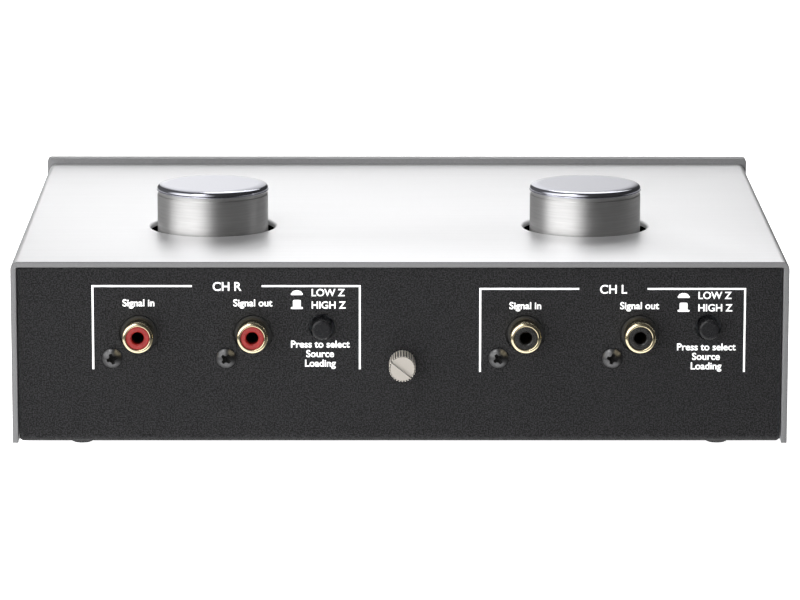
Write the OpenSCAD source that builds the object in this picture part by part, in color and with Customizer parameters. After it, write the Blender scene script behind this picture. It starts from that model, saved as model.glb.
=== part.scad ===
// Step-up transformer box for a moving coil pickup cartridge, seen from its rear.
// A folded steel tray and a folded aluminium cover hold two circuit boards, one per
// channel. Each board carries two phono sockets, a push switch and a screened
// transformer, whose can stands up through a round hole in the cover.
// Millimetres. +Z is up, the rear panel faces +Y, and the origin lies under the
// middle of the whole box, at the height of the feet's soles.

/* [Case] */
// Distance between the centre lines of the two channels
channel_pitch = 102.4; // [94:0.2:130]
// Width of each channel's circuit board
board_w = 82; // [76:0.5:90]
// Room from a board's outer edge to the outside of the case
side_room = 10.8; // [8:0.2:24]
// Depth of the cover, from the front panel to its rear edge
case_d = 154; // [110:1:240]
// Height of the cover, from its lower edge to its top
case_h = 49; // [45:0.5:80]
// Thickness of the cover's aluminium sheet
cover_t = 1.5; // [1:0.1:2]
// Outer radius of the cover's two bends
cover_bend_r = 2; // [1.8:0.1:5]
// Thickness of the tray's steel sheet
tray_t = 1.2; // [0.8:0.1:1.6]
// Outer radius of the tray's bends
tray_bend_r = 2.5; // [2:0.1:5]
// Height of the tray's side flanges
flange_h = 14; // [12:0.5:16]
// Cut-off at the lower corners of the tray's end walls
corner_cut = 1; // [0.5:0.1:2]
// Gap between the tray and the cover
case_gap = 0.3; // [0.1:0.05:0.6]
// Depth of the rear panel behind the cover's rear edge
panel_recess = 0.8; // [0:0.1:2]

/* [Front panel] */
// Thickness of the front panel
front_t = 5; // [4:0.5:8]
// How far the front panel stands above the cover
front_over_top = 1.7; // [0:0.1:4]
// How far the front panel stands out past each side of the cover
front_over_side = 0.65; // [0:0.05:3]
// How far the front panel hangs below the cover
front_over_bottom = 0.6; // [0:0.1:2]
// Radius of the front panel's corners
front_corner_r = 1; // [0.5:0.1:4]

/* [Feet] */
// Radius of a foot's dome
foot_r = 5.85; // [5:0.05:8]
// Radius of a foot's flat sole
foot_flat_r = 2.5; // [1.5:0.1:3.5]
// Height of a foot
foot_h = 3.5; // [2:0.1:5]
// Distance from the side of the case to a foot's axis
foot_side = 17.5; // [12:0.5:30]
// Distance from the cover's front or rear edge to a foot's axis
foot_inset = 18; // [12:0.5:30]

/* [Sockets] */
// Height of the sockets' axes above the cover's lower edge
socket_z = 29.65; // [26:0.05:34]
// Distance from a channel's centre line to its input socket
input_offset = 18; // [15:0.1:21]
// Distance between a channel's input and output sockets
socket_pitch = 30.2; // [27:0.1:34]
// Height of a socket's axis above the circuit board
board_drop = 9.5; // [9:0.1:11]
// Outer diameter of a socket's metal shell
shell_d = 8.3; // [7.8:0.05:9]
// Wall of the shell
shell_wall = 1.05; // [0.9:0.05:1.2]
// Projection of the shell from the rear panel
shell_out = 7; // [6:0.1:9]
// Radius of the shell's rounded front edge
shell_lip_r = 0.9; // [0.3:0.05:0.9]
// Diameter of the hole for the plug's centre pin
pin_hole_d = 3.3; // [3.1:0.05:3.6]
// Length of that hole's round wall
pin_hole_l = 2; // [1.5:0.1:3]
// Depth of a socket's moulded body behind the rear panel
socket_body_d = 13; // [12:0.5:16]
// Width of a socket's moulded body
socket_body_w = 12; // [11:0.5:14]
// Sideways distance from a socket's axis to its fixing screw
socket_screw_x = 7.1; // [6.8:0.05:8]
// Drop from a socket's axis to its fixing screw
socket_screw_drop = 6.65; // [6:0.05:6.9]

/* [Switches] */
// Height of the push buttons' axes above the cover's lower edge
button_z = 31.35; // [28:0.05:35]
// Distance from a channel's centre line to its push button
button_offset = 30.5; // [28:0.1:34]
// Diameter of the button cap
button_d = 5.4; // [5:0.1:6.5]
// Projection of the released button from the rear panel
button_out = 4.4; // [3.6:0.1:6]
// Travel of the button
button_travel = 2.5; // [1.5:0.1:3.5]
// Length of the button cap
cap_l = 7.5; // [6.5:0.1:9]
// Depth of the switch housing
switch_d = 16; // [14:0.5:20]
// Width of the switch housing
switch_w = 11; // [10:0.5:12.5]
// Diameter of the plunger's neck
neck_d = 3; // [2.6:0.1:3.4]
// Turns of the return spring
spring_turns = 8; // [5:1:9]
// Diameter of the return spring's wire
spring_wire = 0.45; // [0.3:0.05:0.6]

/* [Ground terminal] */
// Distance of the ground terminal from the middle of the case
ground_x = 0.6; // [0:0.1:3]
// Height of the ground terminal above the cover's lower edge
ground_z = 21.8; // [19:0.1:24]
// Diameter of the thumb screw's knurled head
ground_head_d = 7; // [6.6:0.1:8]
// Length of the thumb screw's head
ground_head_l = 7.7; // [6:0.1:10]
// Diameter of the thumb screw's shank
ground_shank_d = 3.9; // [3.5:0.1:4.5]
// Thickness of the washer under the head
washer_t = 0.8; // [0.5:0.1:1.2]
// Number of teeth in the knurl
knurl_teeth = 28; // [20:1:36]
// Depth of the knurl
knurl_depth = 0.45; // [0.2:0.05:0.5]

/* [Transformers] */
// Diameter of a transformer can
can_d = 30.4; // [28:0.1:34]
// Height of a can above the cover
can_out = 11.8; // [6:0.1:20]
// Distance from the cover's rear edge to a can's axis
can_inset = 54; // [48:0.5:70]
// Gap all round between a can and its hole in the cover
can_gap = 1.95; // [0.5:0.05:3]
// Wall of a can
can_wall = 1; // [0.6:0.1:1.4]
// Height of a can's lid
lid_h = 1.8; // [1.6:0.1:2.5]
// Radius of the lid's domed shoulder
lid_r = 8; // [5:0.5:12]
// Height of the upright lip below the shoulder
lid_lip = 1.2; // [0.8:0.1:1.4]
// How far the lid stands out past the can's side
lid_over = 0.12; // [0.05:0.01:0.4]
// Height of the laminated core
core_h = 24; // [18:0.5:27]
// Width of the laminated core
core_w = 20; // [18:0.2:21]
// Depth of the laminated core
core_t = 11; // [8:0.2:12]

/* [Fastenings] */
// Diameter of the machine screws
screw_d = 2.9; // [2.5:0.1:3.2]
// Diameter of the pan heads
head_d = 5.2; // [4.8:0.05:6]
// Height of the pan heads
head_h = 2; // [1.6:0.1:2.4]
// Thickness of the circuit boards
board_t = 1.6; // [1:0.1:2]

/* [Hidden] */

// Round surfaces
$fn = 64;
// Overrun of a cut past the face that it leaves through
over = 1;

// Clearances: parts pushed together, parts that slide, and screws in their threads
fit = 0.03;
slide = 0.06;
thread = 0.05;
// Free play of a screw in a hole that it only passes through
hole_play = 0.3;

// The case and where its faces lie
case_w = channel_pitch + board_w + 2 * side_room;
ground_out = washer_t + ground_head_l;
rear_reach = max(shell_out, button_out, ground_out) - panel_recess;
total_d = front_t + case_d + rear_reach;
cover_rear_y = total_d / 2 - rear_reach;
cover_front_y = cover_rear_y - case_d;
panel_y = cover_rear_y - panel_recess;
base_z = foot_h;
cover_top_z = base_z + case_h;
tray_half = case_w / 2 - cover_t - case_gap;
tray_top_z = cover_top_z - cover_t - case_gap;
channels = [["right", channel_pitch / 2, "firebrick"], ["left", -channel_pitch / 2, "dimgray"]];
// Both ends of the case, and both sides, as signs
ends = [1, -1];

// Circuit boards and what holds them
board_gap = 1;
board_margin = 7.5;
board_top_z = base_z + socket_z - board_drop;
board_rear_y = panel_y - tray_t - board_gap;
can_y = cover_rear_y - can_inset;
board_front_y = can_y - can_d / 2 - board_margin;
standoff_inset = 4;
standoff_rear = 26;
standoff_across = 5.5;
standoff_spigot_d = 4.2;
standoff_bore_l = 7;
board_screw_l = 6;
standoff_xy = [
  for (end_y = [board_rear_y - standoff_rear, board_front_y + standoff_inset], side = ends)
    [side * (board_w / 2 - standoff_inset), end_y]
];
pin_d = 0.8;
pin_out = 1.2;
pin_play = 0.1;

// Screws through the case
cover_screw_inset = 25;
cover_screw_up = 7;
cover_screw_head_d = 5.5;
collar_d = 6;
collar_l = 1.5;
front_screw_side = 15;
front_screw_up = 12;
front_screw_depth = 3.5;
screw_end_gap = 0.3;

// Phono socket, measured along its axis outwards from the rear panel's face
boss_wall = 0.5;
boss_gap = 0.6;
boss_d = shell_d + 2 * boss_wall;
socket_hole_d = boss_d + 2 * boss_gap;
shell_bore_d = shell_d - 2 * shell_wall;
spigot_wall = 0.7;
spigot_d = shell_bore_d + 2 * spigot_wall;
spigot_l = 7.4;
insulator_d = shell_bore_d - 2 * fit;
insulator_sunk = 0.2;
insulator_front = shell_out - insulator_sunk;
insulator_back = -9;
insulator_edge_r = 0.35;
pin_hole_chamfer = 0.3;
contact_bore_d = pin_hole_d;
contact_wall = 0.4;
contact_d = contact_bore_d + 2 * contact_wall;
contact_front = insulator_front - pin_hole_chamfer - pin_hole_l;
contact_back = -8;
contact_end_t = 1;
contact_tail_d = 1.2;
body_front = -tray_t;
body_back = body_front - socket_body_d;
contact_tail_gap = 0.4;
contact_tail_s = body_back - contact_tail_d / 2 - contact_tail_gap;
body_up = 6;
ear_w = 4;
ear_up = 3.4;
ear_d = 9;
socket_screw_l = 8;
tail_w = 1.5;
tail_t = 0.6;
tail_s = -6.6;

// Push switch, measured along its axis in the same way
button_gap = 0.75;
button_hole_d = button_d + 2 * button_gap;
button_edge_r = 0.7;
cap_back = button_out - cap_l;
cap_socket_l = 3;
cap_clear = 0.5;
switch_front = cap_back - button_travel - cap_clear;
switch_back_s = switch_front - switch_d;
switch_wall = 1.5;
switch_back_t = 1.5;
switch_up = 5.5;
chamber_d = 6.6;
collar_gap = 0.05;
plunger_collar_d = 6;
plunger_collar_t = 1.5;
plunger_collar_s = switch_front - switch_wall - collar_gap - plunger_collar_t;
guide_d = 2.6;
guide_end_gap = 1;
spring_d = 4.6;
spring_seat = 0.05;
spring_rings = 8;
spring_sides = 6;
switch_drop = button_z - socket_z + board_drop;
switch_pin_x = 3.2;
switch_pin_first = 3;
switch_pin_step = 5;
switch_pin_s = [for (i = [0 : 2]) switch_back_s + switch_pin_first + i * switch_pin_step];
pin_socket = 1.2;

// Ground terminal, measured along its axis in the same way
ground_tip = -8;
tag_t = 0.8;
tag_d = 8;
tag_w = 4;
tag_l = 10;
nut_across = 7;
nut_t = 3.2;
washer_d = 6.4;
slot_w = 1.1;
slot_depth = 0.9;
slot_angle = -39;
head_chamfer = 0.25;
wire_d = 1.6;
wire_rings = 24;
wire_sides = 8;
wire_up = 8;
wire_clear = 3;

// Transformer
can_bore_d = can_d - 2 * can_wall;
can_top_z = cover_top_z + can_out;
can_neck_h = 0.9;
can_neck_depth = 0.25;
lid_plate_t = 1;
lid_spigot_l = 3;
lid_spigot_t = 0.8;
base_t = 2;
core_leg = 6;
core_side = 2.6;
bobbin_gap = 0.15;
bobbin_t = 0.6;
primary_t = 1.5;
secondary_t = 1.6;
core_z = board_top_z + base_t;
transformer_pin_r = 10;
transformer_pins = 6;

// Sheet metal and general shapes

// Least inner radius of a bend
least_bend_r = 0.2;

// Upright outline with rounded lower corners, from corner a to corner b
module round_foot_outline(a, b, r) {
  translate([a[0] + r, a[1]]) square([b[0] - a[0] - 2 * r, b[1] - a[1]]);
  translate([a[0], a[1] + r]) square([b[0] - a[0], b[1] - a[1] - r]);
  for (x = [a[0] + r, b[0] - r]) translate([x, a[1] + r]) circle(r);
}

// Section of a folded sheet: two walls and a floor, with true bends
module folded_section(a, b, r, t) {
  difference() {
    round_foot_outline(a, b, r);
    round_foot_outline([a[0] + t, a[1] + t], [b[0] - t, b[1] + over], max(r - t, least_bend_r));
  }
}

// Stands an outline drawn across X and Z along Y, from y0 to y1
module along_y(y0, y1) {
  translate([0, y1, 0]) rotate([90, 0, 0]) linear_extrude(y1 - y0) children();
}

// Puts what is drawn along +Z on an axis out of the rear panel: x across, z up
module at_panel(x, z) {
  translate([x, panel_y, base_z + z]) rotate([-90, 0, 0]) children();
}

// Round bar between two places along its axis
module bar(s0, s1, d) {
  translate([0, 0, s0]) cylinder(d = d, h = s1 - s0);
}

// Pan-headed screw: the head stands on Z = 0 and the shank hangs below
module pan_screw(shank_l, turn = 0) {
  dome_h = head_h * 0.6;
  dome_r = (pow(head_d / 2, 2) + pow(dome_h, 2)) / (2 * dome_h);
  cross_l = head_d * 0.56;
  cross_w = head_d * 0.17;
  cross_depth = head_h * 0.65;
  difference() {
    intersection() {
      cylinder(d = head_d, h = head_h);
      translate([0, 0, head_h - dome_r]) sphere(dome_r);
    }
    for (a = [0, 90])
      rotate([0, 0, turn + a])
        translate([-cross_l / 2, -cross_w / 2, head_h - cross_depth])
          cube([cross_l, cross_w, head_h]);
  }
  bar(-shank_l, 0, screw_d);
}

// Where the repeated pieces go
module each_cover_screw() {
  for (side = ends, y = [cover_rear_y - cover_screw_inset, cover_front_y + cover_screw_inset])
    translate([side * case_w / 2, y, base_z + cover_screw_up])
      rotate([0, 90 * side, 0]) children();
}

module each_front_screw() {
  for (side = ends, z = [base_z + front_screw_up, tray_top_z - front_screw_up])
    translate([side * (tray_half - front_screw_side), cover_front_y + tray_t, z])
      rotate([-90, 0, 0]) children();
}

module each_standoff() {
  for (channel = channels, xy = standoff_xy)
    translate([channel[1] + xy[0], xy[1], 0]) children();
}

function socket_x(channel_x, output) = channel_x + input_offset - (output ? socket_pitch : 0);
function button_x(channel_x) = channel_x - button_offset;

module each_socket() {
  for (channel = channels, output = [false, true])
    at_panel(socket_x(channel[1], output), socket_z) children();
}

module each_button() {
  for (channel = channels) at_panel(button_x(channel[1]), button_z) children();
}

// Case

module base_tray() {
  front_y = cover_front_y;
  notch_w = tray_bend_r;
  notch_gap = 1;
  flange_y0 = front_y + tray_bend_r + notch_gap;
  flange_y1 = panel_y - tray_bend_r - notch_gap;
  color("dimgray") difference() {
    union() {
      difference() {
        rotate([90, 0, 90])
          linear_extrude(2 * tray_half, center = true)
            folded_section([front_y, base_z], [panel_y, tray_top_z], tray_bend_r, tray_t);
        for (side = ends)
          translate([side * tray_half - notch_w, flange_y0 - notch_gap, base_z - over])
            cube([2 * notch_w, flange_y1 - flange_y0 + 2 * notch_gap, tray_bend_r + over]);
      }
      along_y(flange_y0, flange_y1)
        folded_section([-tray_half, base_z], [tray_half, base_z + flange_h], tray_bend_r, tray_t);
      each_cover_screw() bar(-cover_t - case_gap - tray_t - collar_l, -cover_t - case_gap - tray_t / 2, collar_d);
    }
    for (side = ends)
      translate([side * tray_half, 0, base_z])
        rotate([0, 45, 0])
          cube([corner_cut * sqrt(2), total_d, corner_cut * sqrt(2)], center = true);
    each_cover_screw() bar(-cover_t - case_gap - tray_t - collar_l - over, 0, screw_d + 2 * thread);
    each_front_screw() bar(-tray_t - over, over, screw_d + 2 * hole_play);
    each_standoff() bar(base_z - over, base_z + tray_t + over, standoff_spigot_d + 2 * fit);
    each_socket() {
      bar(-tray_t - over, over, socket_hole_d);
      translate([socket_screw_x, socket_screw_drop, 0]) bar(-tray_t - over, over, screw_d + 2 * hole_play);
    }
    each_button() bar(-tray_t - over, over, button_hole_d);
    at_panel(-ground_x, ground_z) bar(-tray_t - over, over, ground_shank_d + 2 * hole_play);
  }
}

module top_cover() {
  color("gainsboro") difference() {
    along_y(cover_front_y, cover_rear_y)
      mirror([0, 1])
        folded_section([-case_w / 2, -cover_top_z], [case_w / 2, -base_z], cover_bend_r, cover_t);
    for (channel = channels)
      translate([channel[1], can_y, 0])
        bar(cover_top_z - cover_t - over, cover_top_z + over, can_d + 2 * can_gap);
    each_cover_screw() {
      bar(-cover_t - over, over, screw_d + 2 * hole_play);
      countersink(fit, over);
    }
  }
}

// Cone of a countersunk head: flush at Z = 0, eased by play and run out past the face
module countersink(play, run_out) {
  small_r = screw_d / 2;
  large_r = cover_screw_head_d / 2;
  depth = large_r - small_r;
  translate([0, 0, -depth]) cylinder(r1 = small_r + play, r2 = large_r + play, h = depth);
  if (run_out > 0) bar(0, run_out, 2 * (large_r + play));
}

module front_panel() {
  half = case_w / 2 + front_over_side;
  low = base_z - front_over_bottom;
  high = cover_top_z + front_over_top;
  r = front_corner_r;
  color("silver") difference() {
    along_y(cover_front_y - front_t, cover_front_y) {
      translate([-half + r, low]) square([2 * (half - r), high - low]);
      translate([-half, low + r]) square([2 * half, high - low - 2 * r]);
      for (x = [-half + r, half - r], z = [low + r, high - r]) translate([x, z]) circle(r);
    }
    each_front_screw() bar(-tray_t - front_screw_depth, over, screw_d + 2 * thread);
  }
}

// The foot is a rubber dome with a flat sole
module foot(side, end) {
  dome_z = sqrt(pow(foot_r, 2) - pow(foot_flat_r, 2));
  end_y = end > 0 ? cover_rear_y - foot_inset : cover_front_y + foot_inset;
  color("black") translate([side * (case_w / 2 - foot_side), end_y, 0]) intersection() {
    translate([0, 0, dome_z]) sphere(foot_r);
    bar(0, foot_h, 3 * foot_r);
  }
}

// Fastenings

module cover_screws() {
  shank_l = cover_t + case_gap + tray_t + collar_l;
  shank_lap = 0.5;
  slot_l = 2.6;
  slot_cut = 0.8;
  slot_deep = 1;
  color("silver") each_cover_screw() difference() {
    union() {
      countersink(0, 0);
      bar(-shank_l, -shank_lap, screw_d);
    }
    for (a = [0, 90])
      rotate([0, 0, a])
        translate([-slot_l / 2, -slot_cut / 2, -slot_deep]) cube([slot_l, slot_cut, slot_deep + over]);
  }
}

module front_panel_screws() {
  color("silver") each_front_screw() pan_screw(tray_t + front_screw_depth - screw_end_gap);
}

module socket_screws() {
  turns = [20, 65, 38, 80];
  color("black")
    for (c = [0, 1], o = [0, 1])
      at_panel(socket_x(channels[c][1], o == 1), socket_z)
        translate([socket_screw_x, socket_screw_drop, 0])
          pan_screw(tray_t + socket_screw_l, turns[2 * c + o]);
}

module board_standoffs() {
  low_z = base_z + tray_t;
  high_z = board_top_z - board_t;
  color("goldenrod") each_standoff() difference() {
    union() {
      translate([0, 0, low_z]) cylinder(d = standoff_across / cos(30), h = high_z - low_z, $fn = 6);
      bar(base_z, low_z, standoff_spigot_d);
    }
    bar(high_z - standoff_bore_l, high_z + over, screw_d + 2 * thread);
  }
}

module board_screws() {
  color("silver") each_standoff() translate([0, 0, board_top_z]) pan_screw(board_t + board_screw_l);
}

// Circuit board of one channel
module circuit_board(channel_x) {
  color("darkgreen") difference() {
    translate([channel_x - board_w / 2, board_front_y, board_top_z - board_t])
      cube([board_w, board_rear_y - board_front_y, board_t]);
    for (xy = standoff_xy)
      translate([channel_x + xy[0], xy[1], board_top_z]) bar(-board_t - over, over, screw_d + 2 * hole_play);
    for (output = [false, true])
      translate([socket_x(channel_x, output), panel_y, board_top_z]) {
        translate([0, contact_tail_s, 0]) bar(-board_t - over, over, contact_tail_d + 2 * pin_play);
        translate([-tail_w / 2 - pin_play, tail_s - tail_t / 2 - pin_play, -board_t - over])
          cube([tail_w + 2 * pin_play, tail_t + 2 * pin_play, board_t + 2 * over]);
      }
    each_channel_pin(channel_x) bar(-board_t - over, over, pin_d + 2 * pin_play);
  }
}

// Places of one channel's switch and transformer pins, at the board's upper face
module each_channel_pin(channel_x) {
  for (x = [-switch_pin_x, switch_pin_x], s = switch_pin_s)
    translate([button_x(channel_x) + x, panel_y + s, board_top_z]) children();
  each_transformer_pin(channel_x) children();
}

module each_transformer_pin(channel_x) {
  for (i = [0 : transformer_pins - 1])
    translate([channel_x, can_y, board_top_z])
      rotate([0, 0, 360 * i / transformer_pins]) translate([transformer_pin_r, 0, 0]) children();
}

module solder_pins() {
  color("gold") for (channel = channels)
    each_channel_pin(channel[1]) bar(-board_t - pin_out, pin_socket, pin_d);
}

// Phono socket

module socket_body(channel_x, output) {
  color("black") at_panel(socket_x(channel_x, output), socket_z) difference() {
    union() {
      translate([-socket_body_w / 2, -body_up, body_back])
        cube([socket_body_w, body_up + board_drop, socket_body_d]);
      translate([0, socket_screw_drop - ear_up, body_front - ear_d])
        cube([socket_screw_x + ear_w, board_drop - socket_screw_drop + ear_up, ear_d]);
      bar(body_front - over, 0, boss_d);
    }
    bar(-spigot_l, over, spigot_d + 2 * fit);
    bar(insulator_back, over, shell_bore_d);
    bar(body_back - over, 0, contact_tail_d + 2 * fit);
    translate([-tail_w / 2 - fit, 0, tail_s - tail_t / 2 - fit])
      cube([tail_w + 2 * fit, board_drop + over, tail_t + 2 * fit]);
    translate([socket_screw_x, socket_screw_drop, 0])
      bar(-tray_t - socket_screw_l, over, screw_d + 2 * thread);
  }
}

// Turned shell with a rounded front edge, a spigot in the body and an earth tail
module socket_shell(channel_x, output) {
  inner_r = shell_bore_d / 2;
  lip_r = shell_d / 2 - shell_lip_r;
  color("gold") at_panel(socket_x(channel_x, output), socket_z) {
    rotate_extrude() {
      translate([inner_r, 0]) square([shell_wall, shell_out - shell_lip_r]);
      translate([inner_r, 0]) square([lip_r - inner_r, shell_out]);
      translate([lip_r, shell_out - shell_lip_r]) intersection() {
        circle(shell_lip_r);
        square(shell_lip_r);
      }
      translate([inner_r, -spigot_l]) square([(spigot_d - shell_bore_d) / 2, spigot_l]);
    }
    translate([-tail_w / 2, (shell_bore_d + spigot_d) / 4, tail_s - tail_t / 2])
      cube([tail_w, board_drop + board_t + pin_out - (shell_bore_d + spigot_d) / 4, tail_t]);
  }
}

// Moulded ring that fills the shell, coloured by channel
module socket_insulator(channel_x, output, tint) {
  outer_r = insulator_d / 2;
  hole_r = pin_hole_d / 2;
  seat_r = contact_d / 2 + fit;
  edge = insulator_edge_r;
  color(tint) at_panel(socket_x(channel_x, output), socket_z) rotate_extrude() {
    difference() {
      union() {
        translate([0, insulator_back]) square([outer_r, insulator_front - edge - insulator_back]);
        translate([0, insulator_back]) square([outer_r - edge, insulator_front - insulator_back]);
        translate([outer_r - edge, insulator_front - edge]) circle(edge);
      }
      translate([0, insulator_back - over]) square([seat_r, contact_front - insulator_back + over]);
      translate([0, insulator_back]) square([hole_r, insulator_front - insulator_back + over]);
      polygon([
        [0, insulator_front - pin_hole_chamfer],
        [hole_r, insulator_front - pin_hole_chamfer],
        [hole_r + pin_hole_chamfer, insulator_front],
        [hole_r + pin_hole_chamfer, insulator_front + over],
        [0, insulator_front + over]
      ]);
    }
  }
}

// Tubular centre contact, closed at the back, with a tail bent down into the board
module socket_contact(channel_x, output) {
  color("goldenrod") at_panel(socket_x(channel_x, output), socket_z) {
    difference() {
      bar(contact_back, contact_front, contact_d);
      bar(contact_back + contact_end_t, contact_front + over, contact_bore_d);
    }
    bar(contact_tail_s, contact_back, contact_tail_d);
    translate([0, 0, contact_tail_s]) {
      sphere(d = contact_tail_d);
      rotate([-90, 0, 0]) bar(0, board_drop + board_t + pin_out, contact_tail_d);
    }
  }
}

// Push switch

// Upright block of the switch's outline between two places along its axis
module switch_block(s0, s1) {
  translate([-switch_w / 2, -switch_up, s0]) cube([switch_w, switch_up + switch_drop, s1 - s0]);
}

module switch_housing(channel_x) {
  color("slategray") at_panel(button_x(channel_x), button_z) difference() {
    switch_block(switch_back_s, switch_front);
    bar(switch_back_s - over, switch_front - switch_wall, chamber_d);
    bar(switch_back_s, switch_front + over, neck_d + 2 * slide);
    for (x = [-switch_pin_x, switch_pin_x], s = switch_pin_s)
      translate([x, switch_drop, s])
        rotate([90, 0, 0]) bar(-over, pin_socket + fit, pin_d + 2 * fit);
  }
}

module switch_back(channel_x) {
  color("saddlebrown") at_panel(button_x(channel_x), button_z)
    switch_block(switch_back_s - switch_back_t, switch_back_s);
}

module switch_plunger(channel_x) {
  color("whitesmoke") at_panel(button_x(channel_x), button_z) {
    bar(plunger_collar_s, cap_back + cap_socket_l, neck_d);
    bar(plunger_collar_s, plunger_collar_s + plunger_collar_t, plunger_collar_d);
    bar(switch_back_s + button_travel + guide_end_gap, plunger_collar_s, guide_d);
  }
}

module button_cap(channel_x) {
  edge_r = button_d / 2 - button_edge_r;
  color("black") at_panel(button_x(channel_x), button_z) difference() {
    rotate_extrude() {
      translate([0, cap_back]) square([button_d / 2, cap_l - button_edge_r]);
      translate([0, cap_back]) square([edge_r, cap_l]);
      translate([edge_r, button_out - button_edge_r]) intersection() {
        circle(button_edge_r);
        square(button_edge_r);
      }
    }
    bar(cap_back - over, cap_back + cap_socket_l + fit, neck_d + 2 * fit);
  }
}

// Point on one ring of a tube: p is the ring's centre, u and v span its plane
function ring_point(p, u, v, r, a) = p + r * cos(a) * u + r * sin(a) * v;
function unit(v) = v / norm(v);

// Closed tube of triangles through equal rings of points
module ring_tube(rings) {
  count = len(rings);
  sides = len(rings[0]);
  points = [for (ring = rings) each ring];
  walls = [
    for (i = [0 : count - 2], j = [0 : sides - 1])
      let (a = i * sides + j, b = i * sides + (j + 1) % sides)
        each [[a, a + sides, b], [b, a + sides, b + sides]]
  ];
  first = [for (j = [1 : sides - 2]) [0, j, j + 1]];
  base = (count - 1) * sides;
  last = [for (j = [1 : sides - 2]) [base, base + j + 1, base + j]];
  polyhedron(points = points, faces = concat(walls, first, last));
}

// Return spring: a plain helix between the back plate and the plunger's collar
module switch_spring(channel_x) {
  r = spring_d / 2;
  s0 = switch_back_s + spring_wire / 2 + spring_seat;
  s1 = plunger_collar_s - spring_wire / 2 - spring_seat;
  steps = spring_turns * spring_rings;
  rise = (s1 - s0) / steps;
  slope = rise / (2 * PI * r / spring_rings);
  rings = [
    for (i = [0 : steps])
      let (
        a = 360 * i / spring_rings,
        out = [cos(a), sin(a), 0],
        along = unit([-sin(a), cos(a), slope]),
        up = cross(along, out)
      )
        [for (j = [0 : spring_sides - 1])
          ring_point(r * out + [0, 0, s0 + i * rise], up, out, spring_wire / 2, 360 * j / spring_sides)]
  ];
  color("silver") at_panel(button_x(channel_x), button_z) ring_tube(rings);
}

// Screened transformer

// Drawn can with a narrow neck under its lid
module transformer_can(channel_x) {
  rim_z = can_top_z - lid_h;
  color("silver") translate([channel_x, can_y, 0]) difference() {
    union() {
      bar(board_top_z, rim_z - can_neck_h, can_d);
      bar(board_top_z, rim_z, can_d - 2 * can_neck_depth);
    }
    bar(board_top_z - over, rim_z + over, can_bore_d);
  }
}

// Pressed lid: domed shoulder and upright lip, hollow below, with a spigot inside the can
module transformer_lid(channel_x) {
  lid_d = can_d + 2 * lid_over;
  fall = lid_h - lid_lip;
  edge_r = lid_d / 2 - sqrt(2 * lid_r * fall - fall * fall);
  spigot_r = can_bore_d / 2 - fit;
  low = can_top_z - lid_h;
  color("silver") translate([channel_x, can_y, 0]) rotate_extrude() difference() {
    union() {
      translate([0, low]) square([edge_r, lid_h]);
      intersection() {
        translate([0, low]) square([lid_d / 2, lid_h]);
        translate([edge_r, can_top_z - lid_r]) circle(lid_r);
      }
      translate([0, low - lid_spigot_l]) square([spigot_r, lid_spigot_l]);
    }
    translate([0, low - lid_spigot_l - over])
      square([spigot_r - lid_spigot_t, lid_spigot_l + over + lid_h - lid_plate_t]);
  }
}

module transformer_base(channel_x) {
  color("black") difference() {
    translate([channel_x, can_y, board_top_z]) bar(0, base_t, can_bore_d - 2 * fit);
    each_transformer_pin(channel_x) bar(-over, pin_socket + fit, pin_d + 2 * fit);
  }
}

// Laminated core: a frame with a centre leg, standing on the base
module transformer_core(channel_x) {
  window = (core_w - core_leg - 2 * core_side) / 2;
  color("gray") translate([channel_x, can_y, core_z]) difference() {
    translate([-core_w / 2, -core_t / 2, 0]) cube([core_w, core_t, core_h]);
    for (side = ends)
      translate([side * (core_leg + window) / 2 - window / 2, -core_t, core_side])
        cube([window, 2 * core_t, core_h - 2 * core_side]);
  }
}

// Square tube round the core's centre leg, from one distance off the leg to another
module leg_sleeve(inner, outer, low, high) {
  difference() {
    translate([-core_leg / 2 - outer, -core_t / 2 - outer, low])
      cube([core_leg + 2 * outer, core_t + 2 * outer, high - low]);
    translate([-core_leg / 2 - inner, -core_t / 2 - inner, low - over])
      cube([core_leg + 2 * inner, core_t + 2 * inner, high - low + 2 * over]);
  }
}

bobbin_low = core_side + bobbin_gap;
bobbin_high = core_h - core_side - bobbin_gap;
winding_in = bobbin_gap + bobbin_t;
winding_mid = winding_in + primary_t;
winding_out = winding_mid + secondary_t;

module transformer_bobbin(channel_x) {
  color("beige") translate([channel_x, can_y, core_z]) {
    leg_sleeve(bobbin_gap, winding_in, bobbin_low, bobbin_high);
    leg_sleeve(bobbin_gap, winding_out, bobbin_low, bobbin_low + bobbin_t);
    leg_sleeve(bobbin_gap, winding_out, bobbin_high - bobbin_t, bobbin_high);
  }
}

module primary_winding(channel_x) {
  color("chocolate") translate([channel_x, can_y, core_z])
    leg_sleeve(winding_in, winding_mid, bobbin_low + bobbin_t, bobbin_high - bobbin_t);
}

module secondary_winding(channel_x) {
  color("sienna") translate([channel_x, can_y, core_z])
    leg_sleeve(winding_mid, winding_out, bobbin_low + bobbin_t, bobbin_high - bobbin_t);
}

// Ground terminal

// Knurled outline: flat crests with sharp valleys between them
function knurl_points() = [
  for (i = [0 : knurl_teeth - 1])
    let (step = 360 / knurl_teeth, a = i * step, crest = 0.2 * step, r = ground_head_d / 2)
      each [
        r * [cos(a - crest), sin(a - crest)],
        r * [cos(a + crest), sin(a + crest)],
        (r - knurl_depth) * [cos(a + step / 2), sin(a + step / 2)]
      ]
];

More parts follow.
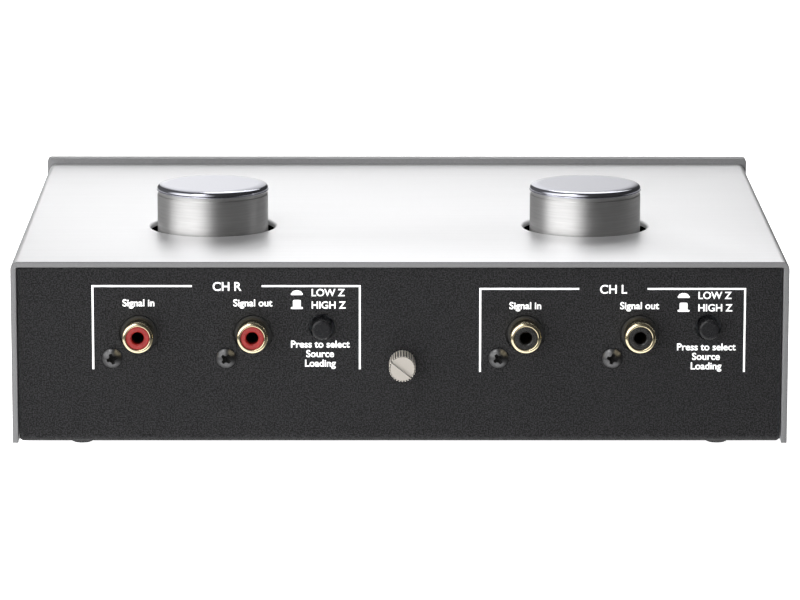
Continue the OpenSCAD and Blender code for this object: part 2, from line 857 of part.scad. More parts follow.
module ground_screw() {
  r = ground_head_d / 2;
  color("lightgray") at_panel(-ground_x, ground_z) {
    bar(ground_tip, washer_t, ground_shank_d);
    difference() {
      intersection() {
        translate([0, 0, washer_t]) linear_extrude(ground_head_l) polygon(knurl_points());
        translate([0, 0, washer_t]) rotate_extrude() polygon([
          [0, 0],
          [r - head_chamfer, 0],
          [r, head_chamfer],
          [r, ground_head_l - head_chamfer],
          [r - head_chamfer, ground_head_l],
          [0, ground_head_l]
        ]);
      }
      translate([0, 0, ground_out - slot_depth])
        rotate([0, 0, slot_angle])
          translate([-ground_head_d, -slot_w / 2, 0]) cube([2 * ground_head_d, slot_w, slot_depth + over]);
    }
  }
}

module ground_washer() {
  color("lightgray") at_panel(-ground_x, ground_z) difference() {
    bar(0, washer_t, washer_d);
    bar(-over, washer_t + over, ground_shank_d + 2 * slide);
  }
}

module ground_nut() {
  face_s = -tray_t - tag_t;
  color("lightgray") at_panel(-ground_x, ground_z) difference() {
    translate([0, 0, face_s - nut_t]) cylinder(d = nut_across / cos(30), h = nut_t, $fn = 6);
    bar(face_s - nut_t - over, face_s + over, ground_shank_d + 2 * thread);
  }
}

// Solder tag held between the nut and the panel, with its tail upwards
module ground_tag() {
  color("khaki") at_panel(-ground_x, ground_z) difference() {
    union() {
      bar(-tray_t - tag_t, -tray_t, tag_d);
      translate([-tag_w / 2, -tag_l, -tray_t - tag_t]) cube([tag_w, tag_l, tag_t]);
    }
    bar(-tray_t - tag_t - over, over, ground_shank_d + 2 * hole_play);
  }
}

// Insulated wire from the tag's tail, round the right channel's switch, to the board behind it
module ground_wire() {
  start = [-ground_x, panel_y - tray_t - tag_t, base_z + ground_z + tag_l - tag_w / 2];
  finish_y = panel_y + switch_back_s - switch_back_t - wire_clear;
  finish = [button_x(channel_pitch / 2), finish_y, board_top_z];
  bend_a = [start[0], finish_y, start[2]];
  bend_b = finish + [0, 0, wire_up];
  side = unit([1, 1, 0]);
  rings = [
    for (i = [0 : wire_rings])
      let (
        t = i / wire_rings,
        p = pow(1 - t, 3) * start + 3 * t * pow(1 - t, 2) * bend_a
          + 3 * t * t * (1 - t) * bend_b + pow(t, 3) * finish,
        along = unit(pow(1 - t, 2) * (bend_a - start) + 2 * t * (1 - t) * (bend_b - bend_a)
          + t * t * (finish - bend_b)),
        u = unit(cross(along, side)),
        v = cross(u, along)
      )
        [for (j = [0 : wire_sides - 1]) ring_point(p, u, v, wire_d / 2, 360 * j / wire_sides)]
  ];
  color("green") ring_tube(rings);
}

base_tray();
top_cover();
front_panel();
cover_screws();
front_panel_screws();
socket_screws();
board_standoffs();
board_screws();
foot(1, 1);  // foot_rear_right
foot(-1, 1);  // foot_rear_left
foot(1, -1);  // foot_front_right
foot(-1, -1);  // foot_front_left
solder_pins();
ground_screw();
ground_washer();
ground_nut();
ground_tag();
ground_wire();
for (channel = channels) {
  side = channel[0];
  x = channel[1];
  circuit_board(x);
  for (output = [false, true]) {
    socket = str(side, output ? "_output" : "_input", "_socket");
    socket_body(x, output);
    socket_shell(x, output);
    socket_insulator(x, output, channel[2]);
    socket_contact(x, output);
  }
  switch_housing(x);
  switch_back(x);
  switch_plunger(x);
  switch_spring(x);
  button_cap(x);
  transformer_can(x);
  transformer_lid(x);
  transformer_base(x);
  transformer_core(x);
  transformer_bobbin(x);
  primary_winding(x);
  secondary_winding(x);
}
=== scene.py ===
# Step-up transformer box for a moving coil pickup, dressed piece by piece in the order of its assembly.
import math

import bmesh
import bpy
from mathutils import Matrix, Quaternion, Vector


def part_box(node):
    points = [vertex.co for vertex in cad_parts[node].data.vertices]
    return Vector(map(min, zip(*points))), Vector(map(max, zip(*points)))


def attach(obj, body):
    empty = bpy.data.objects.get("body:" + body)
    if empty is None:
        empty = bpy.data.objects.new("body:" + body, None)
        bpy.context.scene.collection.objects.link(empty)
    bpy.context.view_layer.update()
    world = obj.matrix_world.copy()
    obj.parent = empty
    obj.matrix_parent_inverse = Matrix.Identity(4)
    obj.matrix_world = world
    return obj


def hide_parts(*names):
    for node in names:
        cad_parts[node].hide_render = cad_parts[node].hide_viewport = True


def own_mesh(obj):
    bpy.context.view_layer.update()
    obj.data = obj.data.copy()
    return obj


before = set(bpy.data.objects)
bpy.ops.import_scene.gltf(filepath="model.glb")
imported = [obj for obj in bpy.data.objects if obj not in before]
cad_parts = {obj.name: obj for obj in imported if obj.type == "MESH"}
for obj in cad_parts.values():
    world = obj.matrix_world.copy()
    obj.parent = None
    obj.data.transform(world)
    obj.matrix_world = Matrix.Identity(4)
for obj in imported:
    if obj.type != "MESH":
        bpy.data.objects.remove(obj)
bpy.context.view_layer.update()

# Camera: a long lens a good metre behind the box, a little above it and almost square to the rear
# panel. Its place, turn and lens come from a fit of the case's straight edges.
mm = 0.001
camera_place = Vector((7.64, 1280.02, 283.57)) * mm
camera_yaw = 0.00633
camera_pitch = 0.1977
camera_roll = 0.0014
camera_lens_mm = 208.98
camera_sensor_mm = 36
looking = Vector((
    -math.sin(camera_yaw) * math.cos(camera_pitch),
    -math.cos(camera_yaw) * math.cos(camera_pitch),
    -math.sin(camera_pitch),
))
lens = bpy.data.cameras.new("camera")
lens.sensor_width = camera_sensor_mm
lens.lens = camera_lens_mm
lens.clip_start = 0.05
lens.clip_end = 60
camera = bpy.data.objects.new("camera", lens)
camera.location = camera_place
camera_turn = looking.to_track_quat("-Z", "Y") @ Quaternion((0, 0, 1), camera_roll)
camera.rotation_euler = camera_turn.to_euler()
bpy.context.scene.collection.objects.link(camera)
bpy.context.scene.camera = camera

# Base tray: one sheet of steel folded up at the rear and front, with low side flanges. It is punched,
# folded and then powder coated in a fine matt black texture. The rear panel is part of it.


def shader_of(finish):
    return finish.node_tree.nodes["Principled BSDF"]


def new_finish(name, colour, metallic, roughness, specular=0.5):
    """A material around one principled shader, whose even values sit on the shader's own sockets."""
    finish = bpy.data.materials.new(name)
    finish.use_nodes = True
    shader = shader_of(finish)
    shader.inputs["Base Color"].default_value = (*colour, 1)
    shader.inputs["Metallic"].default_value = metallic
    shader.inputs["Roughness"].default_value = roughness
    shader.inputs["Specular IOR Level"].default_value = specular
    return finish


def node_for(owner, kind, *sources, **settings):
    """One node of a finish or the sky, with settings, and with its first inputs linked to sources."""
    made = owner.node_tree.nodes.new(kind)
    for name, value in settings.items():
        setattr(made, name, value)
    for i, source in enumerate(sources):
        owner.node_tree.links.new(source, made.inputs[i])
    return made


def ramp(owner, source, start, end, low, high, **settings):
    """A level that runs from low to high as its source goes from start to end."""
    made = node_for(owner, "ShaderNodeMapRange", source, **settings)
    for socket, value in (("From Min", start), ("From Max", end), ("To Min", low), ("To Max", high)):
        made.inputs[socket].default_value = value
    return made.outputs["Result"]


def grain(finish, size, stretch=(1, 1, 1), detail=2.0):
    """Noise fixed to the piece: size is one grain in metres, drawn out along the axes by stretch."""
    place = node_for(finish, "ShaderNodeTexCoord")
    drawn = node_for(finish, "ShaderNodeMapping", place.outputs["Object"])
    drawn.inputs["Scale"].default_value = [1 / (size * part) for part in stretch]
    noise = node_for(finish, "ShaderNodeTexNoise", drawn.outputs["Vector"])
    noise.inputs["Scale"].default_value = 1
    noise.inputs["Detail"].default_value = detail
    return noise.outputs["Fac"]


def colour_by(finish, source, dark, light, start=0.3, end=0.7):
    """Colours the finish from one shade to another along a source that runs from 0 to 1."""
    shades = node_for(finish, "ShaderNodeValToRGB", source)
    for stop, position, shade in zip(shades.color_ramp.elements, (start, end), (dark, light)):
        stop.position = position
        stop.color = (*shade, 1)
    finish.node_tree.links.new(shades.outputs["Color"], shader_of(finish).inputs["Base Color"])


def tint(finish, size, dark, light, stretch=(1, 1, 1)):
    """Colours the finish from one shade to another along a grain."""
    colour_by(finish, grain(finish, size, stretch), dark, light)


def polish(finish, size, low, high, stretch=(1, 1, 1)):
    """Lets the roughness wander between two values along a grain."""
    wandering = ramp(finish, grain(finish, size, stretch), 0.3, 0.7, low, high)
    finish.node_tree.links.new(wandering, shader_of(finish).inputs["Roughness"])


def emboss(finish, size, height, stretch=(1, 1, 1), detail=2.0):
    """Raises a grain from the surface by a height in metres."""
    bump = node_for(finish, "ShaderNodeBump")
    bump.inputs["Strength"].default_value = 1
    bump.inputs["Distance"].default_value = height
    finish.node_tree.links.new(grain(finish, size, stretch, detail), bump.inputs["Height"])
    finish.node_tree.links.new(bump.outputs["Normal"], shader_of(finish).inputs["Normal"])


def dress(finish, *nodes):
    """Puts a finish on carried-over solids."""
    for node in nodes:
        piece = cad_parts[node]
        piece.data.materials.clear()
        piece.data.materials.append(finish)


powder_coat = new_finish("powder_coat", (0.016, 0.016, 0.017), 0.0, 0.5, 0.22)
coat_grain = grain(powder_coat, 0.36 * mm, detail=3)
colour_by(powder_coat, coat_grain, (0.001, 0.001, 0.0012), (0.02, 0.02, 0.0214), 0.42, 0.6)
polish(powder_coat, 1.1 * mm, 0.42, 0.62)
emboss(powder_coat, 0.42 * mm, 0.16 * mm, detail=1)
dress(powder_coat, "base_tray")
tray_low, tray_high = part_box("base_tray")
panel_y = tray_high.y
sheet_t = 1.2 * mm

# Feet: four moulded rubber domes with flat soles, pressed on under the tray's corners. The rubber is
# matt black with a little bloom.
foot_rubber = new_finish("foot_rubber", (0.02, 0.02, 0.02), 0.0, 0.75, 0.3)
tint(foot_rubber, 0.9 * mm, (0.010, 0.010, 0.010), (0.026, 0.026, 0.026))
emboss(foot_rubber, 0.4 * mm, 0.03 * mm)
dress(foot_rubber, *[f"foot_{end}_{side}" for end in ("rear", "front") for side in ("right", "left")])

# Circuit boards: one per channel, glass laminate under green resist, on turned brass standoffs. Pan
# headed screws hold them, and tinned pins of the switches and transformers come through below.
resist = new_finish("board_resist", (0.02, 0.12, 0.05), 0.0, 0.35)
tint(resist, 4 * mm, (0.012, 0.085, 0.035), (0.03, 0.15, 0.07), (1, 3, 1))
emboss(resist, 1.2 * mm, 0.04 * mm, (1, 4, 1))
dress(resist, "right_circuit_board", "left_circuit_board")
brass = new_finish("turned_brass", (0.78, 0.58, 0.27), 1.0, 0.3)
polish(brass, 0.2 * mm, 0.22, 0.4, (8, 8, 1))
dress(brass, "board_standoffs")
tin = new_finish("tinned_pin", (0.74, 0.73, 0.70), 1.0, 0.35)
polish(tin, 0.4 * mm, 0.25, 0.5)
dress(tin, "solder_pins")
zinc = new_finish("zinc_plate", (0.68, 0.69, 0.70), 1.0, 0.3)
polish(zinc, 0.5 * mm, 0.24, 0.42)
# Painted shade: near-black for the faces inside the pan head screws' cross recesses.
recess_shade = new_finish("recess_shade", (0.008, 0.008, 0.008), 0.2, 0.6)
polish(recess_shade, 0.3 * mm, 0.5, 0.7)
screw_d = 2.9 * mm
thread_pitch = 0.5 * mm
thread_depth = 0.28 * mm
rings_per_pitch = 6
smooth_angle = math.radians(35)
on_axis = 1e-7


def arc(centre_r, centre_h, radius, start_deg, end_deg, steps):
    """Points of a round stretch in an outline of radius and height."""
    turns = [math.radians(start_deg + (end_deg - start_deg) * i / steps) for i in range(steps + 1)]
    return [(centre_r + radius * math.cos(a), centre_h + radius * math.sin(a)) for a in turns]


def mesh_from(name, shape, flats=()):
    """Ends a shape as a mesh: smooth but for its sharp edges and the faces named as flats."""
    for face in shape.faces:
        face.smooth = True
    for face in flats:
        face.smooth = False
    bmesh.ops.recalc_face_normals(shape, faces=shape.faces)
    mesh = bpy.data.meshes.new(name)
    shape.to_mesh(mesh)
    shape.free()
    mesh.set_sharp_from_angle(angle=smooth_angle)
    return mesh


def skin(shape, loops):
    """Faces between closed loops of points, one after another, each with as many points as the last."""
    made = []
    for low, high in zip(loops, loops[1:]):
        for i in range(len(low)):
            k = (i + 1) % len(low)
            made.append(shape.faces.new((low[i], low[k], high[k], high[i])))
    return made


def turned_shape(outline, steps=48, closed=False):
    """Spins an outline of radius and height round Z. It is closed, or starts and ends on the axis."""
    shape = bmesh.new()
    rings = []
    for radius, height in outline:
        count = 1 if radius < on_axis else steps
        turns = [2 * math.pi * i / steps for i in range(count)]
        spots = [(radius * math.cos(a), radius * math.sin(a), height) for a in turns]
        rings.append([shape.verts.new(spot) for spot in spots])
    if closed:
        rings.append(rings[0])
    for low, high in zip(rings, rings[1:]):
        for i in range(steps):
            k = (i + 1) % steps
            corners = (low[i % len(low)], low[k % len(low)], high[k % len(high)], high[i % len(high)])
            shape.faces.new(list(dict.fromkeys(corners)))
    return shape


def cut_thread(shape, low, high):
    """Presses a helical groove into the vertices of a shank between two heights."""
    for point in shape.verts:
        radius = math.hypot(point.co.x, point.co.y)
        if low < point.co.z < high and radius > screw_d / 2 - thread_depth:
            turn = math.atan2(point.co.y, point.co.x) / (2 * math.pi)
            share = (point.co.z / thread_pitch - turn) % 1
            scale = 1 - thread_depth * abs(2 * share - 1) / radius
            point.co.x *= scale
            point.co.y *= scale


def cross_cutter(span, arm, depth, top):
    """Tapered cross that a driver fits: four arms, eased in the corners between them."""
    corner = arm * 0.95
    root = arm / 2 * 1.15
    quarter_line = ((span / 2, -arm / 2), (span / 2, arm / 2), (corner, root), (root, corner))
    mouth_scale, floor_scale = 1.12, 0.5
    shape = bmesh.new()
    rings = []
    for scale, height in ((mouth_scale, top + depth * 0.25), (floor_scale, top - depth)):
        ring = []
        for quarter in range(4):
            turn = Matrix.Rotation(quarter * math.pi / 2, 2)
            for flat in quarter_line:
                spot = turn @ Vector(flat) * scale
                ring.append(shape.verts.new((spot.x, spot.y, height)))
        rings.append(ring)
    tip = shape.verts.new((0, 0, top - depth * 1.3))
    upper, lower = rings
    shape.faces.new(upper)
    skin(shape, rings)
    for i in range(len(lower)):
        shape.faces.new((lower[i], lower[(i + 1) % len(lower)], tip))
    return mesh_from("cross_cutter", shape)


def carved(mesh, cutter):
    """The mesh with the cutter's form taken out of it."""
    held = [bpy.data.objects.new(part.name, part) for part in (mesh, cutter)]
    for piece in held:
        bpy.context.scene.collection.objects.link(piece)
    cut = held[0].modifiers.new("cut", "BOOLEAN")
    cut.object = held[1]
    cut.solver = "EXACT"
    seen = held[0].evaluated_get(bpy.context.evaluated_depsgraph_get())
    done = bpy.data.meshes.new_from_object(seen)
    for piece in held:
        bpy.data.objects.remove(piece)
    done.name = mesh.name
    done.shade_smooth()
    done.set_sharp_from_angle(angle=smooth_angle)
    return done


def shank_outline(length, start):
    """Outline of a shank from the tip up to a height, with rings close enough for its thread."""
    rings = round((length + start) / thread_pitch * rings_per_pitch)
    tip = screw_d / 2 - thread_depth
    line = [(0, -length), (tip, -length)]
    line += [(screw_d / 2, -length + (length + start) * i / rings) for i in range(1, rings)]
    return line


def pan_screw_mesh(name, head_d, head_h, shank_l, plating):
    """Pan head with an upright wall and a crown, a cross recess painted near-black as shade, and a
    threaded shank.
    """
    broken = 0.1 * mm
    film = 0.05 * mm
    runout = 0.3 * mm
    recess_span, recess_arm, recess_depth = 0.62 * head_d, 0.17 * head_d, 0.75 * head_h
    recess_reach = 0.36 * head_d
    crown_h = 0.6 * head_h
    crown_r = ((head_d / 2) ** 2 + crown_h ** 2) / (2 * crown_h)
    crown_deg = math.degrees(math.acos(head_d / 2 / crown_r))
    line = shank_outline(shank_l, 0)
    line += [(screw_d / 2, 0), (head_d / 2 - broken, 0), (head_d / 2, broken)]
    line += arc(0, head_h - crown_r, crown_r, crown_deg, 90, 10)[:-1]
    line += [(0, head_h)]
    shape = turned_shape(line)
    cut_thread(shape, -shank_l, -runout)
    mesh = carved(mesh_from(name, shape), cross_cutter(recess_span, recess_arm, recess_depth, head_h))
    for finish in (plating, recess_shade):
        mesh.materials.append(finish)
    for face in mesh.polygons:
        out_r = math.hypot(face.center.x, face.center.y)
        crown_z = head_h - crown_r + math.sqrt(crown_r ** 2 - out_r ** 2)
        face.material_index = int(out_r < recess_reach and 0 < face.center.z < crown_z - film)
    return mesh


def hang(name, mesh, finish, body="case", place=None, stands_for=()):
    """Hangs a mesh on a body, with its finish and the solids that it stands for."""
    if not mesh.materials:
        mesh.materials.append(finish)
    piece = bpy.data.objects.new(name, mesh)
    if place:
        piece.matrix_world = place
    bpy.context.scene.collection.objects.link(piece)
    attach(piece, body)
    if stands_for:
        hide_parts(*stands_for)
    return piece


def facing(spot, direction, turn_deg=0):
    """Place whose Z axis points along a direction, turned about it."""
    aim = Vector(direction).to_track_quat("Z", "Y").to_matrix().to_4x4()
    return Matrix.Translation(spot) @ aim @ Matrix.Rotation(math.radians(turn_deg), 4, "Z")


pan_head_d = 5.2 * mm
pan_head_h = 2 * mm
board_shank_l = 7.6 * mm
standoff_inset = 4 * mm
standoff_rear = 26 * mm
board_screw_mesh = pan_screw_mesh("board_screw", pan_head_d, pan_head_h, board_shank_l, zinc)
for side in ("right", "left"):
    low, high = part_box(f"{side}_circuit_board")
    across = (low.x + standoff_inset, high.x - standoff_inset)
    along = (high.y - standoff_rear, low.y + standoff_inset)
    for i, (x, y) in enumerate((x, y) for y in along for x in across):
        name = f"{side}_board_screw_{i}"
        turn_deg = 25 + 70 * i
        place = facing((x, y, high.z), (0, 0, 1), turn_deg)
        hang(name, board_screw_mesh, zinc, "case", place, ["board_screws"])

# Phono sockets: a gold plated turned shell round a moulded insulator, red for the right channel and
# black for the left, with a tubular contact painted dark brown as the shade deep in its bore, all in a
# black moulded body behind the panel.
gold = new_finish("gold_plate", (0.95, 0.83, 0.56), 1.0, 0.14)
polish(gold, 0.3 * mm, 0.10, 0.20, (4, 4, 1))
# Painted shade: the contact is coloured dark brown to stand for the shade deep in each socket's bore.
contact_painted_shade = new_finish("contact_painted_shade", (0.10, 0.07, 0.04), 1.0, 0.5)
polish(contact_painted_shade, 0.4 * mm, 0.42, 0.6)
black_plastic = new_finish("black_moulding", (0.012, 0.012, 0.012), 0.0, 0.45)
polish(black_plastic, 0.5 * mm, 0.36, 0.55)
emboss(black_plastic, 0.25 * mm, 0.01 * mm)
red_insulator = new_finish("red_insulator", (0.19, 0.010, 0.009), 0.0, 0.32, 0.4)
tint(red_insulator, 1.2 * mm, (0.165, 0.009, 0.008), (0.215, 0.012, 0.010))
polish(red_insulator, 0.4 * mm, 0.26, 0.38)
black_insulator = new_finish("black_insulator", (0.012, 0.011, 0.010), 0.0, 0.3)
tint(black_insulator, 1.2 * mm, (0.008, 0.008, 0.008), (0.018, 0.017, 0.016))
polish(black_insulator, 0.4 * mm, 0.24, 0.36)
insulators = {"right": red_insulator, "left": black_insulator}
shell_r = 4.15 * mm
shell_bore_r = 3.1 * mm
shell_out = 7 * mm
lip_outer_r = 0.8 * mm
lip_inner_r = 0.25 * mm
spigot_r = 3.8 * mm
spigot_l = 7.4 * mm
tail_w = 1.5 * mm
tail_t = 0.6 * mm
tail_back = 6.6 * mm
tail_drop = 12.3 * mm
shell_steps = 72


def socket_shell_mesh(name):
    """Turned shell with a rolled lip and a spigot, and an earth tail that hangs from the spigot."""
    line = [(shell_bore_r, -spigot_l), (spigot_r, -spigot_l), (spigot_r, 0), (shell_r, 0)]
    line += arc(shell_r - lip_outer_r, shell_out - lip_outer_r, lip_outer_r, 0, 90, 10)
    line += arc(shell_bore_r + lip_inner_r, shell_out - lip_inner_r, lip_inner_r, 90, 180, 5)
    shape = turned_shape(line, shell_steps, closed=True)
    start = (shell_bore_r + spigot_r) / 2
    rings = []
    for drop, share in ((start, 1), (tail_drop - tail_w / 2, 1), (tail_drop, 0.5)):
        corners = [(-share, -1), (share, -1), (share, 1), (-share, 1)]
        spots = [(x * tail_w / 2, -drop, s * tail_t / 2 - tail_back) for x, s in corners]
        rings.append([shape.verts.new(spot) for spot in spots])
    skin(shape, rings)
    shape.faces.new(rings[0])
    shape.faces.new(rings[-1])
    return mesh_from(name, shape)


shell_mesh = socket_shell_mesh("socket_shell")
for side in ("right", "left"):
    for end in ("input", "output"):
        socket = f"{side}_{end}_socket"
        dress(contact_painted_shade, f"{socket}_contact")
        dress(black_plastic, f"{socket}_body")
        dress(insulators[side], f"{socket}_insulator")
        low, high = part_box(f"{socket}_insulator")
        place = facing(((low.x + high.x) / 2, panel_y, (low.z + high.z) / 2), (0, 1, 0))
        hang(f"{side}_{end}_shell", shell_mesh, gold, "case", place, [f"{socket}_shell"])

# Socket screws: one black oxide pan head screw with a cross recess beside each socket, through the
# panel into the ear of the socket's body.
black_oxide = new_finish("black_oxide", (0.13, 0.13, 0.132), 1.0, 0.36)
tint(black_oxide, 0.5 * mm, (0.11, 0.11, 0.112), (0.15, 0.15, 0.153))
polish(black_oxide, 0.4 * mm, 0.30, 0.44)
socket_shank_l = 9.2 * mm
socket_screw_mesh = pan_screw_mesh("socket_screw", pan_head_d, pan_head_h, socket_shank_l, black_oxide)
screw_aside = 7.1 * mm
screw_below = 6.65 * mm
screw_turns = {"right_input": 18, "right_output": 48, "left_input": 33, "left_output": 75}
for socket, turn_deg in screw_turns.items():
    low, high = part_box(f"{socket}_socket_insulator")
    middle = (low + high) / 2
    place = facing((middle.x + screw_aside, panel_y, middle.z - screw_below), (0, 1, 0), turn_deg)
    name = f"{socket}_screw"
    hang(name, socket_screw_mesh, black_oxide, "case", place, ["socket_screws"])

# Push switches: a moulded housing with a pressed back, a white plunger on a wire spring, and a black
# cap that comes out through the panel. The spring is drawn wire, wound with closed ends.
grey_plastic = new_finish("switch_moulding", (0.10, 0.11, 0.12), 0.0, 0.5)
polish(grey_plastic, 0.6 * mm, 0.4, 0.6)
brown_board = new_finish("phenolic_board", (0.16, 0.08, 0.035), 0.0, 0.55)
tint(brown_board, 0.8 * mm, (0.12, 0.055, 0.025), (0.2, 0.105, 0.05), (3, 1, 1))
white_plastic = new_finish("plunger_moulding", (0.78, 0.77, 0.73), 0.0, 0.4)
tint(white_plastic, 2 * mm, (0.72, 0.71, 0.66), (0.82, 0.81, 0.78))
spring_steel = new_finish("spring_wire", (0.62, 0.62, 0.62), 1.0, 0.25)
polish(spring_steel, 0.3 * mm, 0.18, 0.34)
cap_plastic = new_finish("button_moulding", (0.009, 0.009, 0.010), 0.0, 0.24, 0.36)
polish(cap_plastic, 0.5 * mm, 0.18, 0.30)
emboss(cap_plastic, 0.3 * mm, 0.008 * mm)
spring_wire_d = 0.45 * mm
spring_wound_r = 2.3 * mm
spring_turns = 8
closed_turns = 1


def tube_mesh(name, path, radius, sides=10):
    """Round rod along a path, carried on without twist and closed at both ends."""
    shape = bmesh.new()
    rings = []
    across = None
    for i, spot in enumerate(path):
        along = (path[min(i + 1, len(path) - 1)] - path[max(i - 1, 0)]).normalized()
        if across is None:
            across = along.orthogonal()
        across = (across - along * across.dot(along)).normalized()
        beside = along.cross(across)
        turns = [2 * math.pi * k / sides for k in range(sides)]
        spokes = [math.cos(a) * across + math.sin(a) * beside for a in turns]
        rings.append([shape.verts.new(spot + radius * spoke) for spoke in spokes])
    skin(shape, rings)
    shape.faces.new(rings[0])
    shape.faces.new(rings[-1])
    return mesh_from(name, shape)


def spring_path(centre_x, centre_z, low_y, high_y):
    """Helix along Y whose first and last turns lie almost flat."""
    steps_per_turn = 24
    whole = spring_turns + 2 * closed_turns
    rise = high_y - low_y
    flat = closed_turns * spring_wire_d * 1.02
    path = []
    for i in range(whole * steps_per_turn + 1):
        turn = i / steps_per_turn
        if turn < closed_turns:
            up = flat * turn / closed_turns
        elif turn > whole - closed_turns:
            up = rise - flat * (whole - turn) / closed_turns
        else:
            up = flat + (rise - 2 * flat) * (turn - closed_turns) / spring_turns
        a = 2 * math.pi * turn
        x = centre_x + spring_wound_r * math.cos(a)
        z = centre_z + spring_wound_r * math.sin(a)
        path.append(Vector((x, low_y + up, z)))
    return path


for side in ("right", "left"):
    dress(grey_plastic, f"{side}_switch_housing")
    dress(brown_board, f"{side}_switch_back")
    dress(white_plastic, f"{side}_switch_plunger")
    dress(cap_plastic, f"{side}_button_cap")
    low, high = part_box(f"{side}_switch_spring")
    cap_low, cap_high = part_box(f"{side}_button_cap")
    button = (cap_low + cap_high) / 2
    path = spring_path(button.x, button.z, low.y + spring_wire_d / 2, high.y - spring_wire_d / 2)
    spring = hang(
        f"{side}_return_spring",
        tube_mesh(f"{side}_return_spring", path, spring_wire_d / 2),
        spring_steel,
        stands_for=[f"{side}_switch_spring"],
    )
    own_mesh(spring)

# Transformers: a laminated core with its two windings in a drawn steel can, closed by a pressed and
# polished lid with a beaded lip. The can's side is satin from turning, and narrows to a neck under it.


def smear(finish, axis, amount, turn):
    """Draws reflections out round an axis, or across that by a quarter turn, as turning lines do."""
    lines = node_for(finish, "ShaderNodeTangent", direction_type="RADIAL", axis=axis)
    finish.node_tree.links.new(lines.outputs["Tangent"], shader_of(finish).inputs["Tangent"])
    shader_of(finish).inputs["Anisotropic"].default_value = amount
    shader_of(finish).inputs["Anisotropic Rotation"].default_value = turn


can_metal = new_finish("can_drawn_metal", (0.70, 0.69, 0.68), 1.0, 0.4)
tint(can_metal, 0.3 * mm, (0.585, 0.58, 0.575), (0.665, 0.66, 0.655), (30, 30, 1))
polish(can_metal, 0.3 * mm, 0.36, 0.46, (6, 6, 1))
smear(can_metal, "Z", 0.75, 0.25)
lid_metal = new_finish("can_lid_metal", (0.53, 0.535, 0.60), 1.0, 0.12)
polish(lid_metal, 0.6 * mm, 0.09, 0.15)
iron = new_finish("core_laminations", (0.32, 0.32, 0.33), 1.0, 0.45)
tint(iron, 0.35 * mm, (0.2, 0.2, 0.21), (0.45, 0.45, 0.46), (60, 1, 60))
nylon = new_finish("bobbin_nylon", (0.74, 0.69, 0.54), 0.0, 0.5)
tint(nylon, 2 * mm, (0.68, 0.62, 0.47), (0.78, 0.74, 0.6))
copper = new_finish("enamelled_copper", (0.62, 0.24, 0.09), 1.0, 0.3)
tint(copper, 1.5 * mm, (0.50, 0.17, 0.06), (0.68, 0.29, 0.12))
polish(copper, 0.6 * mm, 0.22, 0.36)
coils = (("primary", 0.5 * mm, 1.5 * mm), ("secondary", 0.36 * mm, 1.6 * mm))
can_steps = 128
can_wall = 1 * mm
can_neck_h = 0.9 * mm
can_neck_depth = 0.25 * mm
can_edge_r = 0.2 * mm
dome_r = 8 * mm
dome_edge_r = 1.0 * mm
lip_h = 1.2 * mm
bead_r = 0.18 * mm
bead_out = 0.07 * mm
lid_spigot_l = 3 * mm
lid_spigot_t = 0.8 * mm
lid_spigot_gap = 0.15 * mm
lid_plate_t = 1 * mm


def winding_mesh(name, low, high, wire_d, depth):
    """One outer layer of wire, wound square round its former over the plain layers below it."""
    corner = 1.2 * mm
    turn_pitch = wire_d * 1.03
    middle = (low + high) / 2
    half = Vector((high.x - low.x, high.y - low.y)) / 2 - Vector((wire_d, wire_d)) / 2
    count = int((high.z - low.z - wire_d) / turn_pitch)
    lap = []
    for quarter, (sign_x, sign_y) in enumerate(((1, 1), (-1, 1), (-1, -1), (1, -1))):
        for i in range(5):
            a = math.pi / 2 * (quarter + i / 4)
            lap.append((
                sign_x * (half.x - corner) + corner * math.cos(a),
                sign_y * (half.y - corner) + corner * math.sin(a),
            ))
    first_z = low.z + wire_d / 2
    rise = (high.z - low.z - wire_d) / count
    path = []
    for turn in range(count):
        for i, (x, y) in enumerate(lap):
            path.append(Vector((middle.x + x, middle.y + y, first_z + rise * (turn + i / len(lap)))))
    layer = tube_mesh(name, path, wire_d / 2, 6)
    shape = bmesh.new()
    shape.from_mesh(layer)
    sunk = wire_d * 0.8
    loops = []
    for inset in (sunk, depth):
        near = low.xy + Vector((inset, inset))
        far = high.xy - Vector((inset, inset))
        flat = ((near.x, near.y), (far.x, near.y), (far.x, far.y), (near.x, far.y))
        for z in (low.z, high.z):
            loops.append([shape.verts.new((x, y, z)) for x, y in flat])
    outer_low, outer_high, inner_low, inner_high = loops
    skin(shape, (outer_low, outer_high, inner_high, inner_low, outer_low))
    return mesh_from(name, shape)


def can_mesh(name, radius, low_z, rim_z):
    """Open tube with an eased edge below its neck."""
    shoulder_z = rim_z - can_neck_h
    neck_r = radius - can_neck_depth
    line = [(radius - can_wall, low_z), (radius, low_z)]
    line += arc(radius - can_edge_r, shoulder_z - can_edge_r, can_edge_r, 0, 90, 5)
    line += [(neck_r, shoulder_z), (neck_r, rim_z), (radius - can_wall, rim_z)]
    return mesh_from(name, turned_shape(line, can_steps, closed=True))


